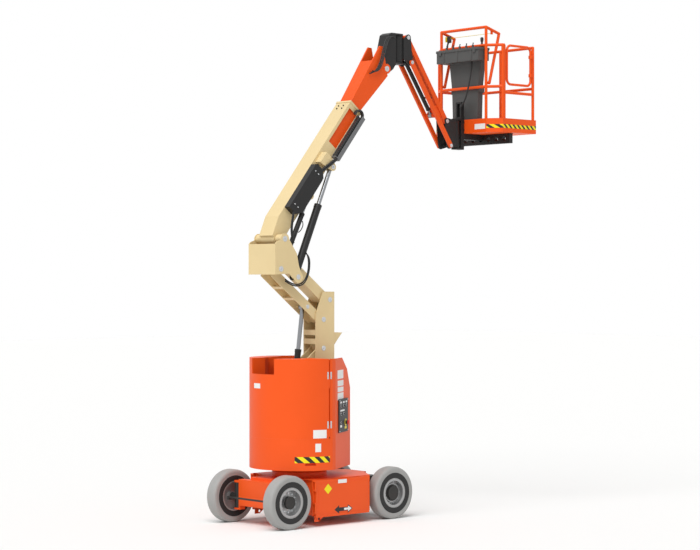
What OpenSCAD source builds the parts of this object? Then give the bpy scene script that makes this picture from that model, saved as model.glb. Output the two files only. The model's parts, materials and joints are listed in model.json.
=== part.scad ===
// Compact electric articulating boom lift with a rotating jib.
// X runs forward to the drive axle, Y to the left, Z up from the ground.
// Places are written from the slew axis; every node is then shifted so that the
// origin lies under the middle of the whole machine.

/* [Chassis] */
// Distance between the steer axle and the drive axle
wheel_base = 1650; // [1600:10:1750]
// Distance of the steer axle behind the slew axis
steer_back = 641; // [620:1:680]
// Width over the tyres
machine_w = 1220; // [1200:5:1260]
// Outer diameter of a tyre
tyre_d = 635; // [600:5:660]
// Width of a tyre
tyre_w = 165; // [150:5:172]
// Diameter of the seat between tyre and rim
rim_d = 350; // [330:5:370]
// Height of the top of the chassis
chassis_top = 560; // [545:5:570]
// Height of the underside of the chassis
chassis_low = 130; // [115:5:150]
// Thickness of a battery door
door_t = 34; // [24:1:40]

/* [Turret] */
// Radius of the round rear of the turret
turret_r = 606; // [595:1:606]
// Height of the underside of the turret
turret_low = 664; // [655:1:680]
// Height of the top of the hoods
turret_top = 1985; // [1960:5:1990]
// Height of the seam between the counterweight and the hoods
hood_low = 1040; // [1000:5:1060]
// Wall of the hoods and side panels
hood_t = 12; // [8:1:16]
// Width of the notch between the two hoods
notch_w = 406; // [380:2:430]

/* [Riser] */
// Distance between the two pins of each riser link
riser_l = 999; // [980:1:1020]
// Angle of the riser links above level, as parked
riser_angle = 37.8; // [36:0.1:39]
// Width over the side plates of the mast and of the upper links
mast_w = 230; // [220:2:234]
// Depth of the mast
mast_d = 300; // [290:5:310]
// Width over the side plates of the riser head
head_w = 500; // [490:5:510]

/* [Boom] */
// Angle of the boom above level, as parked
boom_angle = 51.2; // [49:0.1:53]
// Length of the outer boom tube from its pivot
boom_l = 2068; // [2040:1:2100]
// Width of the outer boom tube
boom_w = 250; // [244:2:256]
// Depth of the outer boom tube
boom_d = 225; // [219:1:231]
// Wall of the boom tubes
boom_t = 8; // [6:1:10]
// Diameter of the lift cylinder's barrel
lift_d = 96; // [88:2:100]

/* [Jib] */
// Length of the jib between its pins
jib_l = 1235; // [1200:5:1260]
// Angle of the jib below level, as parked
jib_angle = 55.8; // [54:0.1:57]
// Width of the upper jib arm
jib_w = 130; // [120:2:136]

/* [Platform] */
// Length of the platform, along the machine
platform_l = 756; // [740:2:780]
// Width of the platform
platform_w = 1220; // [1180:5:1220]
// Height of the toe board's lower edge above the ground
platform_low = 4821; // [4800:1:4840]
// Height of the toe board
toe_h = 179; // [160:1:190]
// Height of the top rail above the toe board's lower edge
rail_h = 1144; // [1110:2:1160]
// Diameter of the rail tubes
rail_d = 38; // [34:1:42]

/* [Hidden] */
// Roundness of turned pieces and bores
$fn = 96;
// Small round pieces and hulls
fine_fn = 32;
// Overrun of cuts
cut = 2;
// Running gap at pins and seats
run = 0.3;
// Gap between moving plates
side_gap = 6;
// Plate thicknesses
thin_t = 8;
plate_t = 12;
// Diameters of pins
pin_d = 50;
small_pin_d = 36;

// Places along the machine
steer_x = -steer_back;
drive_x = wheel_base - steer_back;
tyre_r = tyre_d / 2;
rear_x = steer_x - tyre_r;

// Riser pins as [x, z]: lower stage on the turret and mast, upper stage on mast and head
riser_run = riser_l * cos(riser_angle);
riser_rise = riser_l * sin(riser_angle);
base_pin = [-410, 1228];
tie_shift = [-90, 250];
base_tie_pin = base_pin + tie_shift;
mast_pin = base_pin + [riser_run, riser_rise];
mast_tie_pin = base_tie_pin + [riser_run, riser_rise];
upper_pin = [290, 2440];
upper_tie_shift = [102, 240];
upper_tie_pin = upper_pin + upper_tie_shift;
head_pin = upper_pin + [-riser_run, riser_rise];
head_tie_pin = upper_tie_pin + [-riser_run, riser_rise];
// Boom pivot and cylinder feet on the head, from the head's lower pin
boom_shift = [60, 358];
lift_shift = [269, -96];
level_shift = [185, 220];
boom_pin = head_pin + boom_shift;
lift_foot = head_pin + lift_shift;
level_foot = head_pin + level_shift;

// Boom frame: x along the tube from the pivot, z square to it
boom_low_z = -60;
boom_mid_z = boom_low_z + boom_d / 2;
boom_high_z = boom_low_z + boom_d;
lift_lug = [1178, -60];
level_lug = [690, -20];
nose_pin = [2790, -40];
function turned(p, a) = [p[0] * cos(a) - p[1] * sin(a), p[0] * sin(a) + p[1] * cos(a)];
function angle_of(v) = atan2(v[1], v[0]);
function on_boom(p) = boom_pin + turned(p, boom_angle);
knuckle_pin = on_boom(nose_pin);
lift_eye = on_boom(lift_lug);
level_eye = on_boom(level_lug);
// Side planes of the two boom cylinders
lift_y = -178;
level_y = -163;

// Jib pins, from the knuckle's hinge
swing_reach = 281;
jib_shift = [441, 111];
jib_tie_shift = [406, 426];
swing_x = knuckle_pin[0] + swing_reach;
jib_pin = knuckle_pin + jib_shift;
jib_tie_pin = knuckle_pin + jib_tie_shift;
jib_run = jib_l * cos(jib_angle);
jib_drop = jib_l * sin(jib_angle);
tip_pin = jib_pin + [jib_run, -jib_drop];
tip_tie_pin = jib_tie_pin + [jib_run, -jib_drop];
// Rotator of the platform
rotator_reach = 186;
rotator_d = 110;
rotator_x = tip_pin[0] + rotator_reach;
platform_reach = 128;
platform_x = rotator_x + platform_reach;
platform_front = platform_x + platform_l;
platform_top = platform_low + rail_h;

// Shift that puts the origin under the middle of the machine
centre_x = (rear_x + platform_front) / 2;

// Shared shapes
// Puts a piece in the machine's frame
module machine() { translate([-centre_x, 0, 0]) children(); }
// Extrudes a side outline (x, z) to a plate of thickness t whose middle is at y
module side_plate(y, t) {
    translate([0, y + t / 2, 0]) rotate([90, 0, 0]) linear_extrude(height = t) children();
}
// Round bar across the machine at (x, z), from y0 to y1
module cross_bar(p, d, y0, y1) {
    translate([p[0], y0, p[1]]) rotate([-90, 0, 0]) cylinder(d = d, h = y1 - y0);
}
// Frame of a link: x along it from pin p, turned up by a
module on_link(p, a) { translate([p[0], 0, p[1]]) rotate([0, -a, 0]) children(); }
// Pair of mirrored pieces
module both_sides() {
    children();
    mirror([0, 1, 0]) children();
}
// Box from its low corner to its high corner
module block(low, high) { translate(low) cube(high - low); }
// Flat bar outline with round ends round two pins
module bar_outline(l, w) {
    square_low = -w / 2;
    translate([0, square_low]) square([l, w]);
    circle(d = w);
    translate([l, 0]) circle(d = w);
}
// Round bar between two points of a side plane
module rod_between(p, q, d) {
    v = q - p;
    translate(p) rotate([0, acos(v[2] / norm(v)), atan2(v[1], v[0])]) cylinder(d = d, h = norm(v));
}

// Chassis: spine between the axles, battery box with deck, slew ring on top
spine_w = 400;
spine_low = 200;
axle_d = 84;
drive_case_l = 200;
box_rear = -230;
box_front = 640;
box_w = 1120;
deck_rear = -330;
deck_front = 860;
deck_end_w = 420;
ring_d = 660;
ring_top = 615;
// Door hinges at the rear edge of each battery door: heights of the barrels
door_low = 113;
door_high = 552;
door_rear = -250;
door_front = 600;
hinge_x = -262;
hinge_in = 12;
hinge_y = machine_w / 2 - hinge_in;
hinge_d = 20;
hinge_pin_d = 12;
hinge_grip = 18;
barrel_h = 92;
hinge_zs = [178, 443];
foot_l = 90;
foot_low = 60;

module deck_outline() {
    polygon([[deck_rear, -deck_end_w / 2], [box_rear, -box_w / 2], [box_front, -box_w / 2],
        [deck_front, -deck_end_w / 2], [deck_front, deck_end_w / 2], [box_front, box_w / 2],
        [box_rear, box_w / 2], [deck_rear, deck_end_w / 2]]);
}
module hinge_brackets() {
    for (z = hinge_zs) {
        translate([hinge_x, hinge_y, z - hinge_grip]) cylinder(d = hinge_pin_d, h = barrel_h + 2 * hinge_grip);
        for (low = [z - hinge_grip, z + barrel_h + run])
            block([hinge_x - hinge_d / 2, box_w / 2 - plate_t, low],
                [hinge_x + hinge_d / 2 - cut, hinge_y + hinge_pin_d / 2, low + hinge_grip - run]);
    }
}
tie_hole_z = 90;
module tie_down_plate() {
    side_plate(box_w / 2 - plate_t / 2, plate_t) difference() {
        polygon([[hinge_x + hinge_d, chassis_low], [hinge_x + hinge_d, foot_low],
            [hinge_x + foot_l, foot_low], [hinge_x + 2 * foot_l, chassis_low]]);
        translate([hinge_x + foot_l, tie_hole_z]) circle(d = small_pin_d);
    }
}
module chassis_frame() {
    color("orangered") machine() {
        difference() {
            union() {
                block([steer_x + axle_d / 2, -spine_w / 2, spine_low],
                    [drive_x - drive_case_l / 2, spine_w / 2, chassis_top]);
                translate([0, 0, chassis_top - plate_t]) linear_extrude(height = plate_t) deck_outline();
                translate([0, 0, chassis_low]) linear_extrude(height = plate_t)
                    translate([box_rear, -box_w / 2]) square([box_front - box_rear, box_w]);
                for (x = [box_rear, box_front - plate_t])
                    block([x, -box_w / 2, chassis_low], [x + plate_t, box_w / 2, chassis_top]);
                both_sides() {
                    block([hinge_x - hinge_d / 2, box_w / 2 - plate_t, chassis_low],
                        [box_rear + plate_t, box_w / 2, chassis_top]);
                    hinge_brackets();
                    tie_down_plate();
                }
            }
            block([box_rear + plate_t, -spine_w / 2 + plate_t, chassis_low - cut],
                [box_front - plate_t, spine_w / 2 - plate_t, chassis_top - plate_t]);
        }
        translate([0, 0, chassis_top]) cylinder(d = ring_d, h = ring_top - chassis_top);
    }
}

// Traction batteries, one row in each side of the box, as plain blocks with their cell lids
pack_gap = 14;
pack_h = 340;
cell_n = 4;
lid_h = 16;
module battery_packs() {
    pack_l = box_front - box_rear - 2 * (plate_t + pack_gap);
    cell_l = pack_l / cell_n;
    color("dimgray") machine() both_sides() {
        block([box_rear + plate_t + pack_gap, spine_w / 2 + pack_gap, chassis_low + plate_t],
            [box_front - plate_t - pack_gap, box_w / 2 - pack_gap, chassis_low + plate_t + pack_h]);
        for (i = [0 : cell_n - 1])
            block([box_rear + plate_t + pack_gap + i * cell_l + pack_gap, spine_w / 2 + 2 * pack_gap,
                    chassis_low + plate_t + pack_h],
                [box_rear + plate_t + pack_gap + (i + 1) * cell_l - pack_gap, box_w / 2 - 2 * pack_gap,
                    chassis_low + plate_t + pack_h + lid_h]);
    }
}

// Battery door: pressed panel with a raised field, two hinge barrels on its rear edge
door_rim = 40;
field_rise = 4;
module battery_door() {
    outer_y = hinge_y + cut;
    difference() {
        union() {
            block([door_rear, outer_y - door_t, door_low], [door_front, outer_y - field_rise, door_high]);
            block([door_rear + door_rim, outer_y - door_t, door_low + door_rim],
                [door_front - door_rim, outer_y, door_high - door_rim]);
            for (z = hinge_zs) {
                translate([hinge_x, hinge_y, z]) cylinder(d = hinge_d, h = barrel_h);
                block([hinge_x, hinge_y - hinge_d / 2, z], [door_rear + door_rim, hinge_y, z + barrel_h]);
            }
        }
        for (z = hinge_zs) translate([hinge_x, hinge_y, z - cut])
            cylinder(d = hinge_pin_d + 2 * run, h = barrel_h + 2 * cut);
    }
}
module battery_door_right() { color("orangered") machine() mirror([0, 1, 0]) battery_door(); }
module battery_door_left() { color("orangered") machine() battery_door(); }

// Steer axle: beam with a fork and a kingpin at each end
kingpin_y = 385;
kingpin_d = 40;
fork_w = 96;
fork_in = 325;
fork_t = 20;
fork_zs = [165, 490];
beam_low = 215;
beam_high = 530;
module steer_axle() {
    color("orangered") machine() {
        block([steer_x - axle_d / 2, -fork_in, beam_low], [steer_x + axle_d / 2, fork_in, beam_high]);
        both_sides() {
            for (z = fork_zs) translate([0, 0, z]) linear_extrude(height = fork_t) {
                translate([steer_x - fork_w / 2, fork_in]) square([fork_w, kingpin_y - fork_in]);
                translate([steer_x, kingpin_y]) circle(d = fork_w);
            }
            block([steer_x - axle_d / 2, fork_in - fork_t, fork_zs[0]],
                [steer_x + axle_d / 2, fork_in, fork_zs[1] + fork_t]);
            translate([steer_x, kingpin_y, fork_zs[0]])
                cylinder(d = kingpin_d, h = fork_zs[1] + fork_t - fork_zs[0]);
        }
    }
}

// Sizes of the wheels
wheel_y = machine_w / 2 - tyre_w / 2;
shoulder_r = 34;
shoulder_n = 3;
rim_w = 150;
rim_wall = 12;
lip_w = 26;
lip_t = 10;
disc_t = 16;
disc_z = -6;
boss_l = 66;
boss_wall = 16;

// Steer knuckle: sleeve on the kingpin, wheel spindle with its hub cap, arm for the tie rod
sleeve_d = 84;
spindle_d = 80;
hub_out = wheel_y + disc_z + disc_t / 2 + boss_l / 2 + run;
hub_cap_d = 150;
hub_cap_h = 26;
arm_back = 150;
arm_w = 40;
arm_low = 287;
arm_t = 20;
tie_d = 30;
tie_eye_t = 24;
tie_pin_d = 20;
module steer_knuckle() {
    low = fork_zs[0] + fork_t + run;
    high = fork_zs[1] - run;
    difference() {
        union() {
            translate([steer_x, kingpin_y, low]) cylinder(d = sleeve_d, h = high - low);
            translate([steer_x, 0, 0]) cross_bar([0, tyre_r], spindle_d, kingpin_y, hub_out);
            translate([steer_x, 0, 0]) cross_bar([0, tyre_r], hub_cap_d, hub_out, hub_out + hub_cap_h);
            translate([steer_x, kingpin_y, arm_low]) linear_extrude(height = arm_t) hull() {
                circle(d = arm_w, $fn = fine_fn);
                translate([-arm_back, 0]) circle(d = arm_w, $fn = fine_fn);
            }
            translate([steer_x - arm_back, kingpin_y, arm_low])
                cylinder(d = tie_pin_d, h = arm_t + tie_eye_t + 2 * run);
        }
        translate([steer_x, kingpin_y, low - cut]) cylinder(d = kingpin_d + 2 * run, h = high - low + 2 * cut);
    }
}
module steer_knuckle_right() { color("dimgray") machine() mirror([0, 1, 0]) steer_knuckle(); }
module steer_knuckle_left() { color("dimgray") machine() steer_knuckle(); }

// Tie rod between the two steering arms
module tie_rod() {
    eye_z = arm_low + arm_t + run;
    color("dimgray") machine() difference() {
        union() {
            cross_bar([steer_x - arm_back, eye_z + tie_eye_t / 2], tie_d - side_gap, -kingpin_y, kingpin_y);
            for (s = [-1, 1]) translate([steer_x - arm_back, s * kingpin_y, eye_z])
                cylinder(d = arm_w - side_gap, h = tie_eye_t);
        }
        for (s = [-1, 1]) translate([steer_x - arm_back, s * kingpin_y, eye_z - cut])
            cylinder(d = tie_pin_d + 2 * run, h = tie_eye_t + 2 * cut);
    }
}

// Drive axle: gear case on the spine, axle tubes and the wheel drives' drums
axle_tube_d = 150;
drum_in = 425;
drum_d = 200;
drum_out = 572;
drum_cap_d = 168;
drum_cap_h = 16;
case_low = 190;
case_high = 500;
module drive_axle() {
    color("dimgray") machine() {
        block([drive_x - drive_case_l / 2, -spine_w / 2, case_low],
            [drive_x + drive_case_l / 2, spine_w / 2, case_high]);
        both_sides() translate([drive_x, 0, 0]) {
            cross_bar([0, tyre_r], axle_tube_d, spine_w / 2, drum_in);
            cross_bar([0, tyre_r], drum_d, drum_in, drum_out);
            cross_bar([0, tyre_r], drum_cap_d, drum_out, drum_out + drum_cap_h);
        }
    }
}

// Wheels: solid non-marking tyre pressed on a dished steel rim; local z points outwards
module wheel_at(x, side) {
    translate([x, side * wheel_y, tyre_r]) rotate([-side * 90, 0, 0]) children();
}
function shoulder(top, side) = [for (i = [0 : shoulder_n]) let (a = 90 * i / shoulder_n)
    [top - shoulder_r + shoulder_r * cos(a), side * (tyre_w / 2 - shoulder_r + shoulder_r * sin(a))]];
module tyre() {
    upper = shoulder(tyre_r, 1);
    lower = shoulder(tyre_r, -1);
    rotate_extrude() polygon(concat([[rim_d / 2, -tyre_w / 2 + side_gap]],
        [for (i = [shoulder_n : -1 : 0]) lower[i]], upper, [[rim_d / 2, tyre_w / 2 - side_gap]]));
}
module rim(bore_d) {
    seat_r = rim_d / 2 - run;
    rotate_extrude() {
        translate([seat_r - rim_wall, -rim_w / 2]) square([rim_wall, rim_w]);
        translate([seat_r - lip_w, rim_w / 2 - lip_t]) square([lip_w, lip_t]);
        translate([bore_d / 2 + run, disc_z]) square([seat_r - bore_d / 2 - run, disc_t]);
        translate([bore_d / 2 + run, disc_z + disc_t / 2 - boss_l / 2]) square([boss_wall, boss_l]);
    }
}
module tyre_steer_right() { color("silver") machine() wheel_at(steer_x, -1) tyre(); }
module tyre_steer_left() { color("silver") machine() wheel_at(steer_x, 1) tyre(); }
module tyre_drive_right() { color("silver") machine() wheel_at(drive_x, -1) tyre(); }
module tyre_drive_left() { color("silver") machine() wheel_at(drive_x, 1) tyre(); }
module rim_steer_right() { color("gainsboro") machine() wheel_at(steer_x, -1) rim(spindle_d); }
module rim_steer_left() { color("gainsboro") machine() wheel_at(steer_x, 1) rim(spindle_d); }
module rim_drive_right() { color("gainsboro") machine() wheel_at(drive_x, -1) rim(drum_d); }
module rim_drive_left() { color("gainsboro") machine() wheel_at(drive_x, 1) rim(drum_d); }

// Turret outline in plan: round rear, two slanted side facets, flat front with a slot
split_x = -46;
hood_gap = 10;
knee_x = 60;
knee_y = 590;
front_x = 600;
front_y = 250;
slot_w = 290;
corner_drop = 380;
corner_run = 300;
corner_mid_share = 0.62;
module turret_outline(inset) {
    intersection() {
        circle(r = turret_r - inset);
        translate([-2 * turret_r, -turret_r]) square([2 * turret_r, 2 * turret_r]);
    }
    polygon([[-inset, turret_r - inset], [knee_x, knee_y - inset], [front_x - inset, front_y - inset],
        [front_x - inset, -front_y + inset], [knee_x, -knee_y + inset], [-inset, -turret_r + inset]]);
}

// Turntable: boss on the slew ring and the turret's floor plate
boss_d = 900;
floor_t = 26;
module turntable() {
    color("orangered") machine() {
        translate([0, 0, ring_top + run]) cylinder(d1 = ring_d, d2 = boss_d, h = turret_low - ring_top - run);
        translate([0, 0, turret_low]) linear_extrude(height = floor_t) turret_outline(0);
    }
}

// Counterweight: cast block filling the turret's lower rear, with a lashing recess
weight_front = -150;
recess_w = 130;
recess_h = 34;
recess_depth = 40;
recess_angle = 242;
recess_z = 62;
module counterweight() {
    color("orangered") machine() difference() {
        translate([0, 0, turret_low + floor_t]) linear_extrude(height = hood_low - turret_low - floor_t - run)
            intersection() {
                circle(r = turret_r);
                translate([-turret_r, -turret_r]) square([turret_r + weight_front, 2 * turret_r]);
            }
        rotate([0, 0, recess_angle]) translate([turret_r - recess_depth, -recess_w / 2, turret_low + recess_z])
            cube([2 * recess_depth, recess_w, recess_h]);
    }
}

// Fixed panels: both side facets, the front strips and the skirt below the hoods' hinges
module turret_panels() {
    low = turret_low + floor_t;
    color("orangered") machine() difference() {
        translate([0, 0, low]) linear_extrude(height = turret_top - low) difference() {
            turret_outline(0);
            turret_outline(hood_t);
            translate([front_x - 2 * hood_t, -slot_w / 2]) square([4 * hood_t, slot_w]);
            translate([-2 * turret_r + split_x + hood_gap, -turret_r - cut])
                square([2 * turret_r, 2 * turret_r + 2 * cut]);
        }
        side_plate(0, 2 * machine_w) polygon([[front_x + cut, turret_top - corner_drop],
            [front_x - corner_run * (1 - corner_mid_share), turret_top - corner_drop * (1 - corner_mid_share)],
            [front_x - corner_run, turret_top + cut], [front_x + cut, turret_top + cut]]);
    }
    color("orangered") machine() both_sides() translate([0, 0, low])
        linear_extrude(height = hood_low - low - run) intersection() {
            difference() {
                turret_outline(0);
                turret_outline(hood_t);
            }
            translate([weight_front + run, 0]) square([split_x + hood_gap - weight_front - run, turret_r]);
        }
    color("orangered") machine() both_sides() for (z = hood_barrel_zs) {
        translate([split_x, hood_hinge_y, z - hood_knuckle_h])
            cylinder(d = hood_pin_d, h = hood_barrel_h + 2 * hood_knuckle_h);
        for (low_z = [z - hood_knuckle_h - run, z + hood_barrel_h + run]) {
            translate([split_x, hood_hinge_y, low_z]) cylinder(d = hood_hinge_d, h = hood_knuckle_h);
            block([split_x, hood_hinge_y - hood_hinge_in, low_z],
                [split_x + 2 * hood_gap, hood_hinge_y, low_z + hood_knuckle_h]);
        }
    }
}

// Hydraulic unit: tank, pump and motor as one plain block under the right panels
unit_low = [-60, -440];
unit_high = [200, -190];
unit_h = 420;
module hydraulic_unit() {
    color("dimgray") machine() block([unit_low[0], unit_low[1], turret_low + floor_t],
        [unit_high[0], unit_high[1], turret_low + floor_t + unit_h]);
}

// Hoods: quarter shells hinged at their front edges, with the notch's walls
hood_hinge_in = 8;
hood_hinge_y = turret_r - hood_hinge_in;
hood_hinge_d = 18;
hood_barrel_h = 90;
hood_barrel_zs = [1080, 1660];
notch_low = 1800;
notch_depth = 236;
top_slot_w = 526;
hood_pin_d = 10;
hood_knuckle_h = 24;
module hood() {
    shell_front = split_x - hood_gap;
    difference() {
        union() {
            translate([0, 0, hood_low]) linear_extrude(height = turret_top - hood_low) intersection() {
                difference() {
                    circle(r = turret_r);
                    circle(r = turret_r - hood_t);
                }
                translate([-turret_r - cut, run]) square([turret_r + cut + shell_front, turret_r]);
            }
            translate([0, 0, turret_top - hood_t]) linear_extrude(height = hood_t) intersection() {
                circle(r = turret_r);
                union() {
                    translate([-turret_r, notch_w / 2]) square([notch_depth, turret_r]);
                    translate([-turret_r, top_slot_w / 2]) square([turret_r + shell_front, turret_r]);
                }
            }
            translate([0, 0, notch_low - hood_t]) linear_extrude(height = turret_top - notch_low + hood_t)
                intersection() {
                    circle(r = turret_r);
                    translate([-turret_r, notch_w / 2]) square([notch_depth, hood_t]);
                }
            for (z = hood_barrel_zs) {
                translate([split_x, hood_hinge_y, z]) cylinder(d = hood_hinge_d, h = hood_barrel_h);
                block([shell_front - hood_hinge_d, hood_hinge_y - hood_hinge_d / 2, z],
                    [split_x, hood_hinge_y, z + hood_barrel_h]);
            }
        }
        block([-turret_r - cut, -cut, notch_low], [0, notch_w / 2, turret_top + cut]);
        for (z = hood_barrel_zs) translate([split_x, hood_hinge_y, z - cut])
            cylinder(d = hood_pin_d + 2 * run, h = hood_barrel_h + 2 * cut);
    }
}
module hood_right() { color("orangered") machine() mirror([0, 1, 0]) hood(); }
module hood_left() { color("orangered") machine() hood(); }

// Ground control panel on the right slanted facet: box, switch plate, stop button and keys
panel_share = 0.47;
panel_w = 380;
panel_h = 400;
panel_z = 1290;
panel_d = 16;
key_d = 22;
key_h = 14;
stop_d = 44;
key_shares = [[-0.30, 0.30], [0.0, 0.30], [0.30, 0.30], [-0.30, 0.05], [0.0, 0.05], [-0.30, -0.2]];
stop_share = [0.22, -0.22];
module ground_controls() {
    facet = [front_x - knee_x, knee_y - front_y];
    color("black") machine()
        translate([knee_x + panel_share * facet[0], -knee_y + panel_share * facet[1], panel_z])
        rotate([90, 0, angle_of(facet)]) {
            translate([-panel_w / 2, -panel_h / 2, 0]) cube([panel_w, panel_h, panel_d]);
            for (s = key_shares) translate([s[0] * panel_w, s[1] * panel_h, panel_d]) cylinder(d = key_d, h = key_h);
            translate([stop_share[0] * panel_w, stop_share[1] * panel_h, panel_d]) cylinder(d = stop_d, h = 2 * key_h);
        }
}

// Tower base: two upright plates on the counterweight with the pins of the lower riser links
base_in = 109;
base_t = 18;
base_rear = -560;
base_front = -300;
base_round = 110;
base_web_t = 14;
module tower_base() {
    color("orangered") machine() {
        both_sides() side_plate(base_in + base_t / 2, base_t) hull() {
            translate([base_rear, hood_low]) square([base_front - base_rear, base_round]);
            translate(base_pin) circle(d = base_round, $fn = fine_fn);
            translate(base_tie_pin) circle(d = base_round, $fn = fine_fn);
        }
        for (p = [base_pin, base_tie_pin]) cross_bar(p, pin_d, -base_in - base_t, base_in + base_t);
        block([base_rear, -base_in, hood_low], [base_rear + base_web_t, base_in, base_pin[1] + base_round]);
        block([base_rear, -base_in - base_t, hood_low - run], [base_front, base_in + base_t, hood_low + base_web_t]);
    }
}

// Riser: two stages of parallel links with a mast between them, so that the head stays level
link_gap = 5;
mast_in = mast_w / 2 - plate_t;
link_y = mast_in - link_gap;
link_t = 12;
sleeve_w = 88;

// Sleeve across a link at its pin, bored for the pin
module pin_sleeve(d, half_w) {
    rotate([90, 0, 0]) translate([0, 0, -half_w]) cylinder(d = d, h = 2 * half_w);
}
module pin_bore(d, half_w) {
    rotate([90, 0, 0]) translate([0, 0, -half_w - cut]) cylinder(d = d + 2 * run, h = 2 * (half_w + cut));
}

// Lower arm: two deep plates, end sleeves and a lug for the riser cylinder's foot
lower_arm_w = 126;
foot_lug = [263, -127];
foot_lug_d = 96;
lower_web_x = [520, 880];
module riser_lower_arm() {
    color("wheat") machine() on_link(base_pin, riser_angle) difference() {
        union() {
            both_sides() side_plate(link_y - link_t / 2, link_t) {
                bar_outline(riser_l, lower_arm_w);
                hull() {
                    translate([foot_lug[0], foot_lug[1]]) circle(d = foot_lug_d, $fn = fine_fn);
                    translate([foot_lug[0], 0]) square([2 * foot_lug_d, cut], center = true);
                }
            }
            for (x = [0, riser_l]) translate([x, 0, 0]) pin_sleeve(lower_arm_w - 2 * link_t, link_y);
            block([lower_web_x[0], -link_y + link_t, -lower_arm_w / 2 + link_t],
                [lower_web_x[1], link_y - link_t, -lower_arm_w / 2 + 2 * link_t]);
            cross_bar(foot_lug, small_pin_d, -link_y, link_y);
        }
        for (x = [0, riser_l]) translate([x, 0, 0]) pin_bore(pin_d, link_y);
    }
}

// Lower tie: two slim bars that pass either side of the riser cylinder
tie_w = 86;
tie_y = 66;
tie_t = 18;
module riser_lower_tie() {
    color("wheat") machine() on_link(base_tie_pin, riser_angle) difference() {
        union() {
            both_sides() side_plate(tie_y, tie_t) bar_outline(riser_l, tie_w);
            for (x = [0, riser_l]) translate([x, 0, 0]) pin_sleeve(tie_w, link_y);
        }
        for (x = [0, riser_l]) translate([x, 0, 0]) pin_bore(pin_d, link_y);
    }
}

// Mast: upright channel between the stages, ladder rungs on its rear, step bracket on its front
mast_back = 217;
mast_drop = 80;
mast_rise = 97;
mast_rear = mast_pin[0] - mast_back;
mast_front = mast_rear + mast_d;
mast_low = mast_pin[1] - mast_drop;
mast_top = upper_tie_pin[1] + mast_rise;
mast_slope_x = 114;
mast_slope_z = 277;
rung_h = 65;
rung_zs = [2142, 2250];
step_z = 2275;
step_reach = 150;
step_drop = 170;
step_w = 180;
module riser_mast() {
    color("wheat") machine() {
        both_sides() side_plate(mast_w / 2 - plate_t / 2, plate_t) polygon([[mast_rear, mast_low],
            [mast_rear, mast_top - mast_slope_z], [mast_rear + mast_slope_x, mast_top],
            [mast_front, mast_top], [mast_front, mast_low]]);
        block([mast_front - plate_t, -mast_w / 2, mast_low], [mast_front, mast_w / 2, mast_top]);
        for (z = rung_zs) block([mast_rear, -mast_in, z], [mast_rear + plate_t, mast_in, z + rung_h]);
        for (p = [mast_pin, mast_tie_pin, upper_pin, upper_tie_pin])
            cross_bar(p, pin_d, -mast_w / 2, mast_w / 2);
        both_sides() side_plate(step_w / 2 - thin_t / 2, thin_t) polygon([[mast_front, step_z],
            [mast_front + step_reach, step_z], [mast_front, step_z - step_drop]]);
        block([mast_front, -step_w / 2, step_z - thin_t], [mast_front + step_reach, step_w / 2, step_z]);
    }
}

// Upper arm: channel with a windowed web and two rungs; x from the head's pin down to the mast
upper_low = -85;
upper_high = 30;
upper_t = 10;
upper_end = 24;
rod_lug = [711, -25];
window_l = 280;
window_w = 110;
web_ends = [95, 150];
rung_xs = [240, 460];
rung_w = 44;
module riser_upper_arm() {
    color("wheat") machine() on_link(head_pin, -riser_angle) difference() {
        union() {
            both_sides() side_plate(link_y - upper_t / 2, upper_t) {
                translate([upper_end, upper_low])
                    square([riser_l - 2 * upper_end, upper_high - upper_low]);
                for (x = [0, riser_l]) translate([x, 0]) circle(d = 2 * upper_high + pin_d);
            }
            for (x = [0, riser_l]) translate([x, 0, 0]) pin_sleeve(sleeve_w, link_y);
            block([web_ends[0], -link_y + upper_t, upper_high - thin_t],
                [riser_l - web_ends[1], link_y - upper_t, upper_high]);
            for (x = rung_xs) block([x, -link_y + upper_t, upper_low],
                [x + rung_w, link_y - upper_t, upper_low + thin_t]);
            both_sides() cross_bar(rod_lug, small_pin_d, link_y - 3 * upper_t, link_y);
        }
        block([rod_lug[0] - window_l / 2, -window_w / 2, 0], [rod_lug[0] + window_l / 2, window_w / 2, pin_d]);
        for (x = [0, riser_l]) translate([x, 0, 0]) pin_bore(pin_d, link_y);
    }
}

// Upper tie: closed box link above the upper arm
tie_low = -90;
tie_high = 40;
tie_box_ends = [62, 70];
tie_box_y = 90;
tie_sleeve_d = 78;
module riser_upper_tie() {
    color("wheat") machine() on_link(head_tie_pin, -riser_angle) difference() {
        union() {
            difference() {
                block([tie_box_ends[0], -tie_box_y, tie_low], [riser_l - tie_box_ends[1], tie_box_y, tie_high]);
                block([tie_box_ends[0] - cut, -tie_box_y + thin_t, tie_low + thin_t],
                    [riser_l - tie_box_ends[1] + cut, tie_box_y - thin_t, tie_high - thin_t]);
            }
            both_sides() side_plate(tie_box_y - thin_t / 2, thin_t) bar_outline(riser_l, tie_sleeve_d);
            for (x = [0, riser_l]) translate([x, 0, 0]) pin_sleeve(tie_sleeve_d, link_y);
        }
        for (x = [0, riser_l]) translate([x, 0, 0]) pin_bore(pin_d, link_y);
    }
}

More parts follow.
